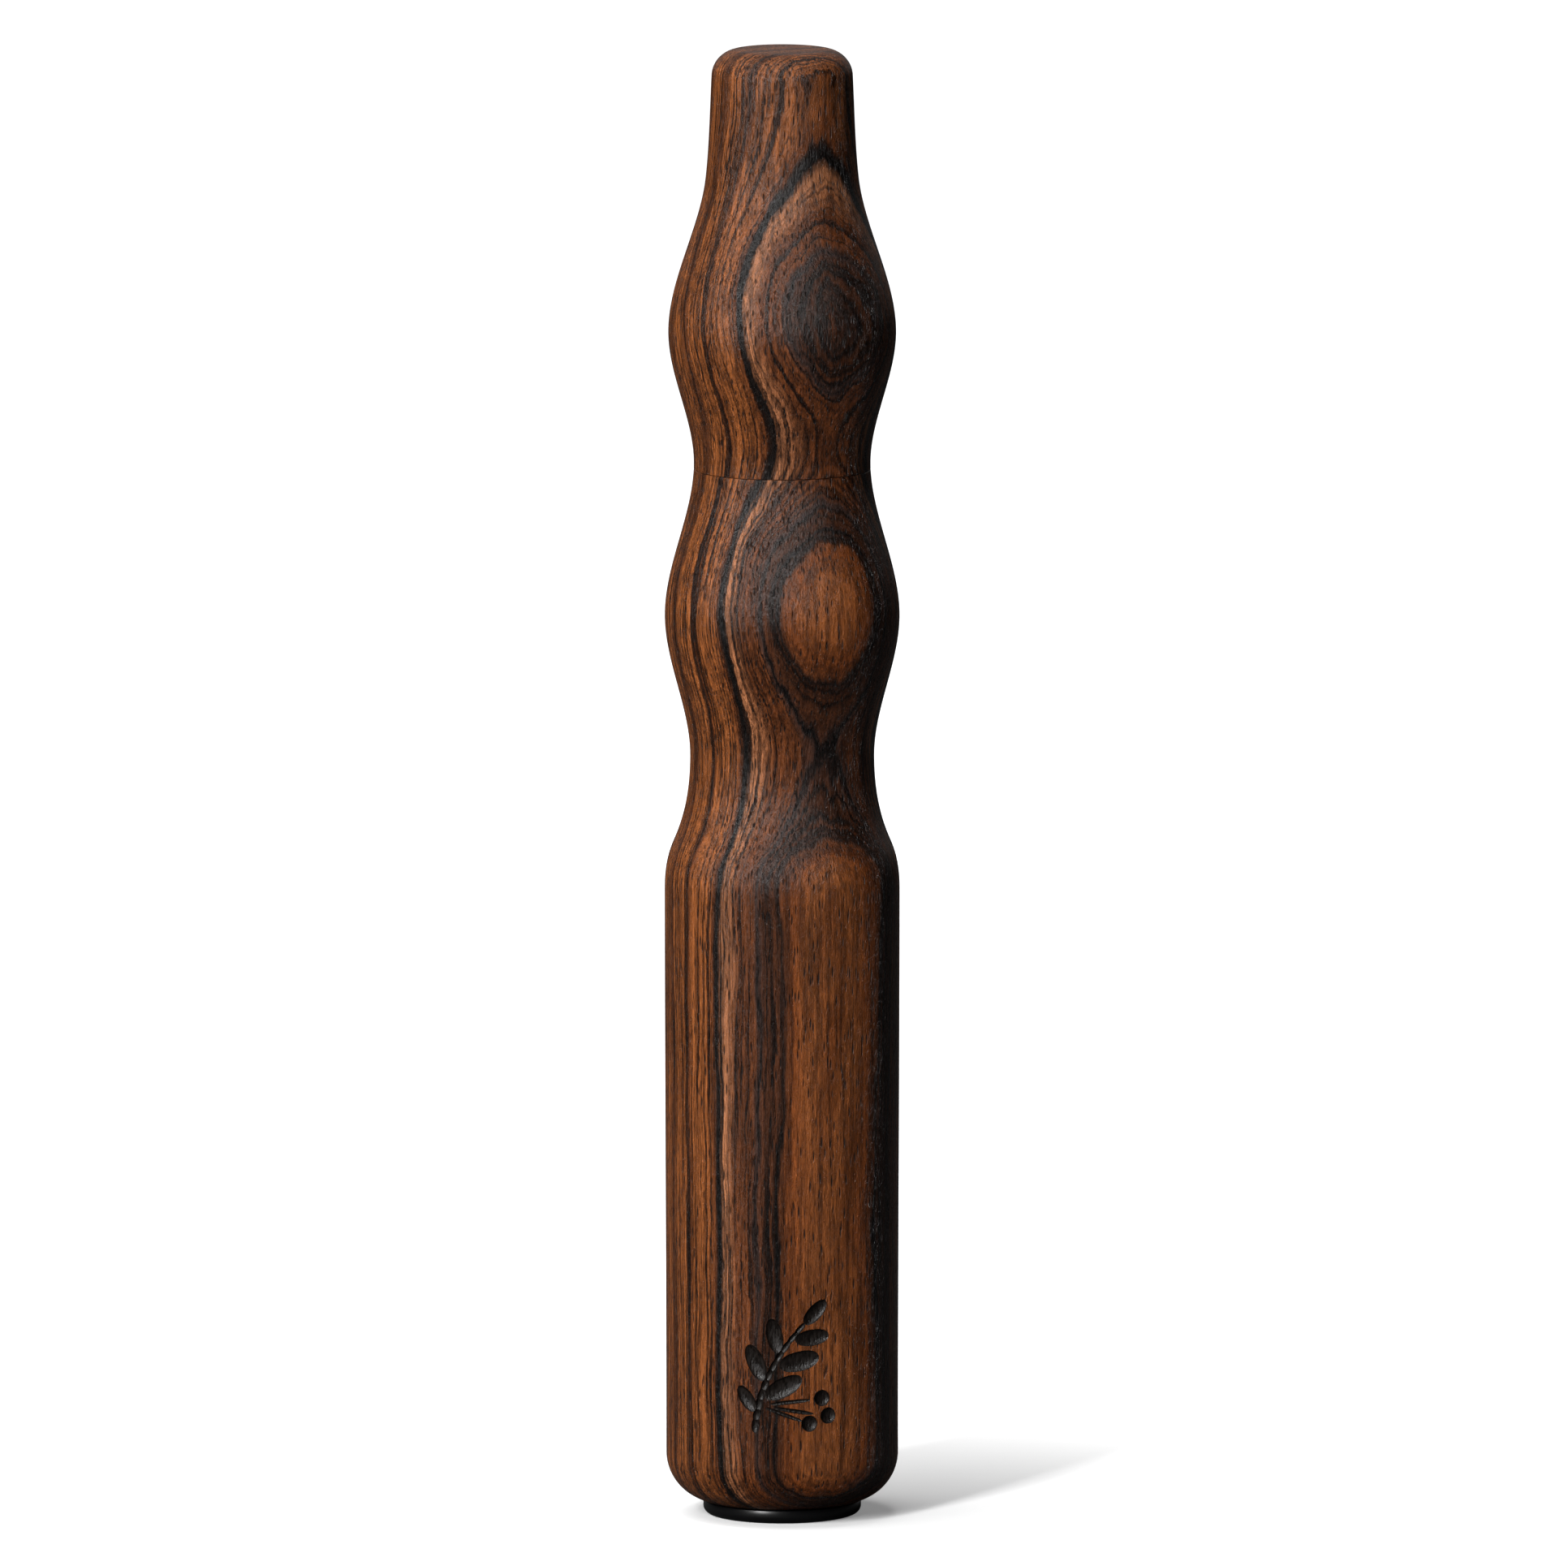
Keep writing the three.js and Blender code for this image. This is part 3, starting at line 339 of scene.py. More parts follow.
# %% The gouge
def gouge(across, up, length, width, angle, depth):
    """One cutter: an egg shape lying on the barrel, with its long way at an angle to level."""
    height = MARK_CENTRE[1] + up
    radius = outline_radius(height)
    turn = (MARK_CENTRE[0] + across) / radius
    deselect_all()
    bpy.ops.mesh.primitive_uv_sphere_add(
        segments=20,
        ring_count=12,
        radius=0.5 * MM,
        location=(radius * math.sin(turn) * MM, -radius * math.cos(turn) * MM, height * MM),
        rotation=(0, -angle, turn),
    )
    cutter = bpy.context.object
    cutter.scale = (length, 2 * depth, width)
    return settle(cutter, "cutter")


def stem_point(share):
    """Place and direction along the stem, which is a simple curve through three handles."""
    a, b, c = [Vector(handle) for handle in STEM]
    place = (1 - share) ** 2 * a + 2 * share * (1 - share) * b + share**2 * c
    direction = (1 - share) * (b - a) + share * (c - b)
    return place, math.atan2(direction.y, direction.x)


# %% Gouge cuts
cutters = []
for cut in range(STEM_CUTS):
    place, angle = stem_point((cut + 0.5) / STEM_CUTS)
    cut_width = STEM_TIP_WIDTH + STEM_SWELLING * (STEM_CUTS - cut)
    cutters.append(gouge(place.x, place.y, STEM_CUT_LENGTH, cut_width, angle, STEM_DEPTH))
for share, side, length, width, spread in LEAVES:
    place, angle = stem_point(share)
    leaf_angle = angle - side * math.radians(spread)
    reach = LEAF_STALK + length / 2
    across = place.x + reach * math.cos(leaf_angle)
    up = place.y + reach * math.sin(leaf_angle)
    cutters.append(gouge(across, up, length, width, leaf_angle, LEAF_DEPTH))
for across, up in CORNS:
    cutters.append(gouge(across, up, 2 * CORN_RADIUS, 2 * CORN_RADIUS, 0, CORN_DEPTH))
    run = across - CORN_STALK_ROOT[0]
    rise = up - CORN_STALK_ROOT[1]
    middle = (Vector((across, up)) + Vector(CORN_STALK_ROOT)) / 2
    lean = math.atan2(rise, run)
    stalk_length = math.hypot(run, rise)
    cutters.append(
        gouge(middle.x, middle.y, stalk_length, CORN_STALK_WIDTH, lean, CORN_STALK_DEPTH)
    )
print(len(cutters), "gouge cuts")

# %% [markdown]
# A Boolean takes all the cuts out of the wood at once. The cuts run into each other, and the exact solver
# is the one that can deal with a cutter that crosses itself. The hollows keep the dark finish that the
# cutters carry, so no face has to be picked by hand.

# %% Carve the barrel
burnt_wood = bpy.data.materials.new("burnt wood")
plain_wood = bpy.data.materials.new("barrel wood")
barrel.data.materials.append(plain_wood)

deselect_all()
for cutter in cutters:
    cutter.select_set(True)
bpy.context.view_layer.objects.active = cutters[0]
bpy.ops.object.join()
sprig = bpy.context.object
sprig.data.materials.clear()
sprig.data.materials.append(burnt_wood)

carve = barrel.modifiers.new("carve", "BOOLEAN")
carve.operation = "DIFFERENCE"
carve.solver = "EXACT"
carve.use_self = True
carve.material_mode = "TRANSFER"
carve.object = sprig
apply_modifiers(barrel)
bpy.data.objects.remove(sprig)
smooth(barrel)
report(barrel)

# %% [markdown]
# ## Head
# The head is solid but for a bore that holds the driving socket. Its tenon drops into the top of the
# barrel and keeps the two in line. It could be one turning with the barrel, sawn apart afterwards, but
# the tenon belongs to the head alone, so it gets a profile of its own. That profile begins and ends on
# the axis, and Spin closes it there.

# %% Sizes of the head
SEAM_GAP = 0.1
HEAD_BOTTOM = SEAM + SEAM_GAP
TENON_RADIUS = 17.9
TENON_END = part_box("head_wood")[0].z / MM
TENON_CHAMFER = 0.8
SOCKET_FLANGE_BORE = 14.0
SOCKET_FLANGE_THICKNESS = 2.6
SOCKET_FLANGE_SEAT = TENON_END + SOCKET_FLANGE_THICKNESS
SOCKET_BORE = 11.55
SOCKET_BORE_DEPTH = 46.3
SOCKET_BORE_TOP = TENON_END + SOCKET_BORE_DEPTH
print("tenon length", round(HEAD_BOTTOM - TENON_END, 1), "mm")

# %% Turn the head
AXIS = 0.0
TOP_ARC_STEPS = 14
top_rounding = TOP - TOP_EDGE[0]
top_centre = (TOP_EDGE[1] - top_rounding, TOP_EDGE[0])
head_profile = [
    (AXIS, SOCKET_BORE_TOP),
    (SOCKET_BORE, SOCKET_BORE_TOP),
    (SOCKET_BORE, SOCKET_FLANGE_SEAT),
    (SOCKET_FLANGE_BORE, SOCKET_FLANGE_SEAT),
    (SOCKET_FLANGE_BORE, TENON_END + EDGE),
    (SOCKET_FLANGE_BORE + EDGE, TENON_END),
    (TENON_RADIUS - TENON_CHAMFER, TENON_END),
    (TENON_RADIUS, TENON_END + TENON_CHAMFER),
    (TENON_RADIUS, HEAD_BOTTOM),
    (outline_radius(HEAD_BOTTOM) - SEAM_EDGE, HEAD_BOTTOM),
    (outline_radius(HEAD_BOTTOM) - SEAM_TAPER, HEAD_BOTTOM + SEAM_EDGE),
    *outline(HEAD_BOTTOM + STRETCH_GAP / 2, TOP_EDGE[0], CURVE_STEP),
    *arc(top_centre, top_rounding, 0, math.pi / 2, TOP_ARC_STEPS)[1:],
    (AXIS, TOP),
]
head = turn_on_lathe("head", in_metres(head_profile), steps=WOOD_SPIN_STEPS, closed=False)
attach(head, "head")
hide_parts("head_wood")
report(head)

# %% [markdown]
# ## Adjusting ring
# The ring is a smooth black moulding with a rounded lower edge. A sleeve rises from it into the mill. Rim,
# sleeve and the groove for the snap ring are all round, so the lathe makes them in one go, and only the
# slots have to be cut afterwards.

# %% Adjusting ring
RING_RADIUS = 21.85
RING_ROUNDING = 2.2
RING_ARC_STEPS = 10
RING_TOP = 3.8
RING_EDGE = 0.3
RING_SPIN_STEPS = 144
SLEEVE_RADIUS = 16.8
SLEEVE_BORE = 15.2
SLEEVE_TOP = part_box("adjusting_ring")[1].z / MM
GROOVE_BOTTOM = 6.95
GROOVE_TOP = 7.95
GROOVE_RADIUS = SLEEVE_RADIUS - 0.7
BORE_MOUTH = [(0, 0.7), (0.15, 0.3), (0.6, 0)]

ring_centre = (RING_RADIUS - RING_ROUNDING, RING_ROUNDING)
ring_profile = [
    *arc(ring_centre, RING_ROUNDING, -math.pi / 2, 0, RING_ARC_STEPS),
    (RING_RADIUS, RING_TOP - RING_EDGE),
    (RING_RADIUS - RING_EDGE / 3, RING_TOP - RING_EDGE / 3),
    (RING_RADIUS - RING_EDGE, RING_TOP),
    (SLEEVE_RADIUS, RING_TOP),
    (SLEEVE_RADIUS, GROOVE_BOTTOM),
    (GROOVE_RADIUS, GROOVE_BOTTOM),
    (GROOVE_RADIUS, GROOVE_TOP),
    (SLEEVE_RADIUS, GROOVE_TOP),
    (SLEEVE_RADIUS, SLEEVE_TOP),
    (SLEEVE_BORE, SLEEVE_TOP),
    *[(SLEEVE_BORE + out, up) for out, up in BORE_MOUTH],
]
ring = turn_on_lathe("ring", in_metres(ring_profile), steps=RING_SPIN_STEPS)
report(ring)

# %% [markdown]
# ### Cam slots
# Three slots climb round the sleeve. The lugs of the burr lifter pass through them, so turning the ring
# pushes the lifter up. A slot could be cut as a row of overlapping holes, but its edges would be wavy. So
# each cutter begins as a small upright plane, which is pulled round and up in short steps and level at
# both ends.

# %% Slot cutter
SLOTS = 3
SLOT_SWEEP = math.radians(75)
SLOT_RISE = 1.2
SLOT_BOTTOM = 9.4
SLOT_HEIGHT = 1.6
SLOT_END = 1.75
SLOT_STEPS = 15
SLOT_OVERCUT = 2


def slot_cutter(angle):
    deselect_all()
    middle = (SLEEVE_BORE + SLEEVE_RADIUS) / 2
    bpy.ops.mesh.primitive_plane_add(size=MM, rotation=(math.pi / 2, 0, 0))
    cutter = bpy.context.object
    cutter.scale = (SLEEVE_RADIUS - SLEEVE_BORE + SLOT_OVERCUT, SLOT_HEIGHT, 1)
    cutter.location = (middle * MM, 0, (SLOT_BOTTOM + SLOT_HEIGHT / 2) * MM)
    settle(cutter, "slot cutter")
    cutter.rotation_euler = (0, 0, angle + SLOT_END / middle)
    settle(cutter, "slot cutter")
    bpy.ops.object.mode_set(mode="EDIT")
    bpy.ops.mesh.select_all(action="SELECT")
    turns = [SLOT_END / middle, *[SLOT_SWEEP / SLOT_STEPS] * SLOT_STEPS, SLOT_END / middle]
    climbs = [0, *[SLOT_RISE / SLOT_STEPS] * SLOT_STEPS, 0]
    for turn, climb in zip(turns, climbs):
        bpy.ops.mesh.extrude_region_move(TRANSFORM_OT_translate={"value": (0, 0, climb * MM)})
        bpy.ops.transform.rotate(value=turn, orient_axis="Z", center_override=(0, 0, 0))
    bpy.ops.mesh.select_all(action="SELECT")
    bpy.ops.mesh.normals_make_consistent(inside=False)
    bpy.ops.object.mode_set(mode="OBJECT")
    return cutter


# %% Cut the slots
for slot_number in range(SLOTS):
    cutter = slot_cutter(slot_number * 2 * math.pi / SLOTS)
    report(cutter)
    opening = ring.modifiers.new("slot", "BOOLEAN")
    opening.operation = "DIFFERENCE"
    opening.solver = "EXACT"
    opening.object = cutter
    apply_modifiers(ring)
    bpy.data.objects.remove(cutter)
smooth(ring)
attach(ring, "adjuster")
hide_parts("adjusting_ring")
report(ring)

# %% [markdown]
# ## Spring
# A soft compression spring presses the grinding cone down onto its lifter. A Screw modifier makes a spring
# of one pitch only, and a real one has a turn closed up at each end so that it stands square. So the wire
# is a small circle that is extruded step by step round the shaft, with its own pitch for each stretch.

# %% Wind the spring
SPRING_RADIUS = 7.0
WIRE_RADIUS = 0.5
WIRE_SIDES = 12
SPRING_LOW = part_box("burr_spring")[0].z / MM + WIRE_RADIUS
SPRING_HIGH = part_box("burr_spring")[1].z / MM - WIRE_RADIUS
STEPS_PER_TURN = 22
END_PITCH = 1.15
OPEN_TURNS = 4

deselect_all()
bpy.ops.mesh.primitive_circle_add(
    vertices=WIRE_SIDES,
    radius=WIRE_RADIUS * MM,
    fill_type="NGON",
    location=(SPRING_RADIUS * MM, 0, SPRING_LOW * MM),
    rotation=(math.pi / 2, 0, 0),
)
spring = bpy.context.object
bpy.ops.object.mode_set(mode="EDIT")
bpy.ops.mesh.select_all(action="SELECT")
open_pitch = (SPRING_HIGH - SPRING_LOW - 2 * END_PITCH) / OPEN_TURNS
for pitch, turns in ((END_PITCH, 1), (open_pitch, OPEN_TURNS), (END_PITCH, 1)):
    for step in range(turns * STEPS_PER_TURN):
        climb = (0, 0, pitch / STEPS_PER_TURN * MM)
        bpy.ops.mesh.extrude_region_move(TRANSFORM_OT_translate={"value": climb})
        bpy.ops.transform.rotate(
            value=2 * math.pi / STEPS_PER_TURN,
            orient_axis="Z",
            center_override=(0, 0, 0),
        )
bpy.ops.mesh.select_all(action="SELECT")
bpy.ops.mesh.normals_make_consistent(inside=False)
bpy.ops.object.mode_set(mode="OBJECT")
settle(spring, "spring")
smooth(spring)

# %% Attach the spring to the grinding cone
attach(spring, "grinding_cone")
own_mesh(spring)
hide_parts("burr_spring")
report(spring)

# %% [markdown]
# ## Building materials from nodes
# A material here is a small graph. It could be wired by hand in the shader editor, but the same few moves
# come back in every finish, so these helpers add a node with its settings and wire it up. Each recipe
# below then reads as a list of steps. All patterns use Object coordinates in millimetres, so their sizes
# are sizes on the real thing.

# %% Helpers for materials
def open_material(material):
    """Turns on a material's nodes and hands back its graph and its main shader."""
    material.use_nodes = True
    tree = material.node_tree
    return tree, tree.nodes["Principled BSDF"]


def add(tree, kind, inputs=None, **settings):
    """Adds a node. inputs maps a socket's name or number to a value or to another node's output."""
    made = tree.nodes.new(kind)
    for key, value in settings.items():
        setattr(made, key, value)
    for key, value in (inputs or {}).items():
        if isinstance(value, bpy.types.NodeSocket):
            tree.links.new(value, made.inputs[key])
        else:
            made.inputs[key].default_value = value
    return made


def maths(tree, operation, *values):
    return add(tree, "ShaderNodeMath", dict(enumerate(values)), operation=operation).outputs[0]


def noise(tree, vector, scale=1.0, detail=2.0, roughness=0.5, swirl=0.0):
    inputs = {"Vector": vector, "Scale": scale, "Detail": detail, "Roughness": roughness}
    inputs["Distortion"] = swirl
    return add(tree, "ShaderNodeTexNoise", inputs).outputs["Fac"]


def remap(tree, value, low, high, to_low=0.0, to_high=1.0, soft=True):
    inputs = {"Value": value, "From Min": low, "From Max": high, "To Min": to_low, "To Max": to_high}
    kind = "SMOOTHSTEP" if soft else "LINEAR"
    return add(tree, "ShaderNodeMapRange", inputs, interpolation_type=kind).outputs["Result"]


def place_in_mm(tree, turn=0.0):
    """The place of a point in the piece, in millimetres, turned round the upright axis."""
    place = add(tree, "ShaderNodeTexCoord").outputs["Object"]
    inputs = {"Vector": place, "Scale": (1 / MM, 1 / MM, 1 / MM), "Rotation": (0, 0, turn)}
    return add(tree, "ShaderNodeMapping", inputs).outputs[0]


def drawn_out(tree, place, along, across, shift=0.0):
    """Coordinates for a pattern drawn out along the grain. Both sizes are in millimetres."""
    inputs = {
        "Vector": place,
        "Scale": (1 / across, 1 / across, 1 / along),
        "Location": (shift, 2 * shift, 3 * shift),
    }
    return add(tree, "ShaderNodeMapping", inputs).outputs[0]


def tint(tree, colour, shade):
    """Multiplies a colour by a grey shade."""
    inputs = {0: colour, "Scale": shade}
    return add(tree, "ShaderNodeVectorMath", inputs, operation="SCALE").outputs[0]


def relief(tree, height, depth):
    """Small ups and downs of the surface, this deep in millimetres."""
    return add(tree, "ShaderNodeBump", {"Height": height, "Distance": depth * MM}).outputs[0]


# %% [markdown]
# ## Striped hardwood
# A tree grows in layers. Turning a blank cuts through them, and that alone makes the figure: stripes on
# the straight barrel, and closed eyes where a bead reaches out into a deeper layer. A pattern of stripes
# laid over the surface would never make the eyes. So the colour is a solid one: it depends on how deep a
# point lies in the blank, measured towards the bark.

# %% Colours of the layers
BLANK_HALF = 36.0
HONEY = (0.262, 0.079, 0.020, 1)
TAN = (0.370, 0.142, 0.060, 1)
CHESTNUT = (0.130, 0.037, 0.010, 1)
RUSSET = (0.180, 0.047, 0.010, 1)
BARK_BROWN = (0.075, 0.023, 0.008, 1)
UMBER = (0.040, 0.013, 0.005, 1)
INK = (0.007, 0.004, 0.003, 1)
SLATE = (0.027, 0.018, 0.016, 1)

# Depth in millimetres towards the bark, and the colour of the layer that lies there.
LAYERS = [
    (-36.0, UMBER),
    (-31.0, CHESTNUT),
    (-27.0, INK),
    (-25.5, HONEY),
    (-18.0, BARK_BROWN),
    (-15.0, HONEY),
    (-12.5, CHESTNUT),
    (-10.5, HONEY),
    (-6.4, HONEY),
    (-2.8, BARK_BROWN),
    (-1.2, HONEY),
    (4.2, HONEY),
    (5.3, INK),
    (6.2, CHESTNUT),
    (7.2, HONEY),
    (12.6, HONEY),
    (14.8, CHESTNUT),
    (15.5, INK),
    (16.5, INK),
    (17.5, TAN),
    (20.6, CHESTNUT),
    (23.6, CHESTNUT),
    (24.6, SLATE),
    (25.4, BARK_BROWN),
    (26.2, UMBER),
    (27.0, BARK_BROWN),
    (27.9, INK),
    (28.6, CHESTNUT),
    (29.4, RUSSET),
    (31.4, HONEY),
    (33.0, RUSSET),
    (36.0, CHESTNUT),
]
print(len(LAYERS), "colours over", 2 * BLANK_HALF, "mm of wood")

# %% [markdown]
# No trunk is straight, so the layers lean towards the top and the foot, rise and fall in one long wave
# over the beads, and waver a little everywhere. Only the depth that the colours are read at has to change
# for that. Three noises do the wavering: a broad swell, a finer one, and a ragged edge as wide as a fibre.

# %% Depth in the blank
UPPER_LEAN = 3.2
LOWER_LEAN = 0.8
WAVE_LENGTH = 83.5
WAVE_CREST = 354.0
WAVE_HEIGHT = 2.2


def layer_depth(tree, place, height, outward):
    """How deep a point lies among the layers, in millimetres."""
    lean = remap(tree, height, 180, 330, 0, UPPER_LEAN)
    lean = maths(tree, "ADD", lean, remap(tree, height, 60, 175, LOWER_LEAN, 0))
    angle = maths(tree, "MULTIPLY", maths(tree, "SUBTRACT", height, WAVE_CREST), 2 * math.pi / WAVE_LENGTH)
    wave_height = remap(tree, height, 165, 290, 0, WAVE_HEIGHT)
    wave = maths(tree, "MULTIPLY", maths(tree, "COSINE", angle), wave_height)
    swell = maths(tree, "SUBTRACT", noise(tree, drawn_out(tree, place, 110, 28), 1.0, 1.0), 0.5)
    waver = maths(tree, "SUBTRACT", noise(tree, drawn_out(tree, place, 22, 6), 1.0, 3.0), 0.5)
    ragged = maths(tree, "SUBTRACT", noise(tree, drawn_out(tree, place, 16, 0.55), 1.0, 3.0), 0.5)
    depth = maths(tree, "ADD", maths(tree, "SUBTRACT", outward, lean), wave)
    for pattern, size in ((swell, 5.0), (waver, 2.4), (ragged, 0.7)):
        depth = maths(tree, "MULTIPLY_ADD", pattern, size, depth)
    return depth


# %% [markdown]
# Fibres are noise drawn out with the grain, and streaks are the same but broader. The pores of the wood
# are cut open by the lathe as short dark dashes, for which a Voronoi pattern gives the scattered middles.
# Thin curls are a painted highlight: they lighten the colour where the fibres turn, and also raise the
# surface a little. They follow the lines along which a swirling noise has its middle value.

# %% Broad layers and small marks
def layer_colour(tree, depth):
    """The colour ramp of the layers, read at a depth."""
    share = remap(tree, depth, -BLANK_HALF, BLANK_HALF, soft=False)
    ramp = add(tree, "ShaderNodeValToRGB", {0: share})
    stops = ramp.color_ramp.elements
    stops[0].color = LAYERS[0][1]
    stops[1].color = LAYERS[-1][1]
    for layer, colour in LAYERS[1:-1]:
        stops.new((layer + BLANK_HALF) / (2 * BLANK_HALF)).color = colour
    return ramp.outputs[0]


def pore_marks(tree, place):
    inputs = {"Vector": drawn_out(tree, place, 7.0, 1.0), "Scale": 1.0, "Randomness": 1.0}
    from_middle = add(tree, "ShaderNodeTexVoronoi", inputs).outputs["Distance"]
    return remap(tree, from_middle, 0.13, 0.28, 1.0, 0.0)


# painted highlight: the curls lighten the wood's colour, and they also raise its surface
def curl_highlight_and_relief_marks(tree, place):
    swirls = noise(tree, drawn_out(tree, place, 3.2, 1.4, 7.0), 1.0, 2.0, 0.5, swirl=1.6)
    from_line = maths(tree, "ABSOLUTE", maths(tree, "SUBTRACT", swirls, 0.5))
    return remap(tree, from_line, 0.0, 0.022, 1.0, 0.0)


# %% [markdown]
# Thin dark lines run between the layers. They are noise that changes quickly with depth and slowly along
# the trunk, so they close round the eyes as the layers do. The wood under the bark is plainer, so the
# lines fade there. The colour is also painted a little darker towards the top, which is painted shade:
# the upper part looks as if less light fell on it. Lines, streaks, fibres, pores and curls each darken or
# lighten the layer's colour, the curls as a painted highlight, and the small marks also drive the dullness
# of the oil finish and the relief, so they agree with each other. One recipe serves both pieces. The head
# is turned a few degrees on its tenon, so the figure steps a little at the seam.

# %% Striped hardwood
BARK_SIDE = math.radians(27)
HEAD_SLIP = math.radians(4)
QUIET_DEPTH = 28.9
QUIET_FADE = 0.6
# painted shade: towards the top the colour falls to this share of itself, as if less light fell there
PAINTED_TOP_SHADE = 0.84
WOOD_RELIEF = 0.21


def dark_lines(tree, depth, height):
    """How much the thin lines darken the wood: below 1 in a line, and a little over 1 between lines."""
    slow_height = maths(tree, "MULTIPLY", height, 0.006)
    by_depth = add(tree, "ShaderNodeCombineXYZ", {0: depth, 1: slow_height}).outputs[0]
    change = remap(tree, noise(tree, by_depth, 1.6, 6.0, 0.68), 0.40, 0.56, -0.92, 0.16)
    strength = remap(tree, depth, QUIET_DEPTH - QUIET_FADE, QUIET_DEPTH + QUIET_FADE, 1.0, 0.45)
    return maths(tree, "MULTIPLY_ADD", change, strength, 1.0)


def hardwood(material, bark_side):
    tree, shader = open_material(material)
    place = place_in_mm(tree, math.pi / 2 - bark_side)
    split = add(tree, "ShaderNodeSeparateXYZ", {0: place})
    outward, height = split.outputs[0], split.outputs[2]
    depth = layer_depth(tree, place, height, outward)
    streaks = noise(tree, drawn_out(tree, place, 45, 1.3, 11.0), 1.0, 3.0, 0.6)
    fibres = noise(tree, drawn_out(tree, place, 4, 0.24, 5.0), 1.0, 4.0, 0.7)
    flecks = noise(tree, drawn_out(tree, place, 1.6, 0.7, 3.0), 1.0, 3.0, 0.6)
    pore = pore_marks(tree, place)
    curl_highlight_and_relief = curl_highlight_and_relief_marks(tree, place)

    shade = dark_lines(tree, depth, height)
    for change in (
        # painted shade towards the top
        remap(tree, height, 200, 400, 1.0, PAINTED_TOP_SHADE),
        remap(tree, streaks, 0.34, 0.64, 0.50, 1.25),
        remap(tree, fibres, 0.34, 0.66, 0.56, 1.36),
        maths(tree, "MULTIPLY_ADD", pore, -0.88, 1.0),
        # painted highlight: the curls lighten the colour
        maths(tree, "MULTIPLY_ADD", curl_highlight_and_relief, 0.6, 0.92),
    ):
        shade = maths(tree, "MULTIPLY", shade, change)
    colour = tint(tree, layer_colour(tree, depth), shade)
    tree.links.new(colour, shader.inputs["Base Color"])

    dullness = maths(tree, "MULTIPLY_ADD", fibres, 0.26, 0.16)
    dullness = maths(tree, "MULTIPLY_ADD", pore, 0.25, dullness)
    tree.links.new(dullness, shader.inputs["Roughness"])
    surface = maths(tree, "MULTIPLY_ADD", pore, -1.3, maths(tree, "MULTIPLY", fibres, 0.9))
    surface = maths(tree, "MULTIPLY_ADD", flecks, 1.0, surface)
    surface = maths(tree, "MULTIPLY_ADD", curl_highlight_and_relief, 0.75, surface)
    tree.links.new(relief(tree, surface, WOOD_RELIEF), shader.inputs["Normal"])
    shader.inputs["Specular IOR Level"].default_value = 0.33
    print(material.name, "has", len(tree.nodes), "nodes")


hardwood(plain_wood, BARK_SIDE)
head_wood = bpy.data.materials.new("head wood")
hardwood(head_wood, BARK_SIDE + HEAD_SLIP)
head.data.materials.append(head_wood)

# %% [markdown]
# The burnt hollows of the mark are charcoal black, and a little shiny where the oil has filled the char.
# One flat black would do from far away, but close by it would look like paint.

# %% Burnt wood
tree, shader = open_material(burnt_wood)
char = noise(tree, drawn_out(tree, place_in_mm(tree), 2.0, 0.5), 1.0, 4.0)
soot = tint(tree, (0.006, 0.004, 0.003), remap(tree, char, 0.3, 0.7, 0.5, 1.6))
tree.links.new(soot, shader.inputs["Base Color"])
tree.links.new(remap(tree, char, 0.3, 0.7, 0.25, 0.5), shader.inputs["Roughness"])
shader.inputs["Specular IOR Level"].default_value = 0.3
tree.links.new(relief(tree, char, 0.25), shader.inputs["Normal"])
print("burnt wood has", len(tree.nodes), "nodes")

# %% [markdown]
# ## Finishes of the mechanism
# The mechanism is moulded, fired and drawn in a factory, so its finishes are plainer than the wood's, but
# none is a single flat colour. Moulded plastic keeps the fine spark texture of its mould. Acetal is a
# milky plastic that runs well against metal, and light goes a little way into it. One recipe makes all
# three plastics, with the colour, the dullness and the depth of the texture given each time.

# %% Moulded plastic
def moulded(name, colour, dullness, texture):
    """texture is the depth of the mould's spark finish in millimetres."""
    material = bpy.data.materials.new(name)
    tree, shader = open_material(material)
    place = place_in_mm(tree)
    grain = noise(tree, place, 3.2, 3.0)
    flow = noise(tree, place, 0.12, 2.0)
    clouded = tint(tree, colour, remap(tree, flow, 0.3, 0.7, 0.85, 1.15))
    tree.links.new(clouded, shader.inputs["Base Color"])
    rough = maths(tree, "MULTIPLY_ADD", grain, 0.14, dullness)
    tree.links.new(rough, shader.inputs["Roughness"])
    tree.links.new(relief(tree, grain, texture), shader.inputs["Normal"])
    return material


ring_black = moulded("ring black", (0.003, 0.003, 0.0033), 0.24, 0.012)
housing_black = moulded("housing black", (0.012, 0.012, 0.013), 0.38, 0.03)
acetal = moulded("acetal", (0.74, 0.71, 0.62), 0.36, 0.012)
acetal_shader = acetal.node_tree.nodes["Principled BSDF"]
acetal_shader.inputs["Subsurface Weight"].default_value = 0.12
acetal_shader.inputs["Subsurface Radius"].default_value = (MM, MM, MM)
ring.data.materials.append(ring_black)
print("plastics:", ring_black.name, housing_black.name, acetal.name)

# %% [markdown]
# The burrs are fired ceramic with a faint speckle. Pepper dust settles on them in use, so two colours are
# mixed by a patchy noise, and the dusty patches are also the duller ones.

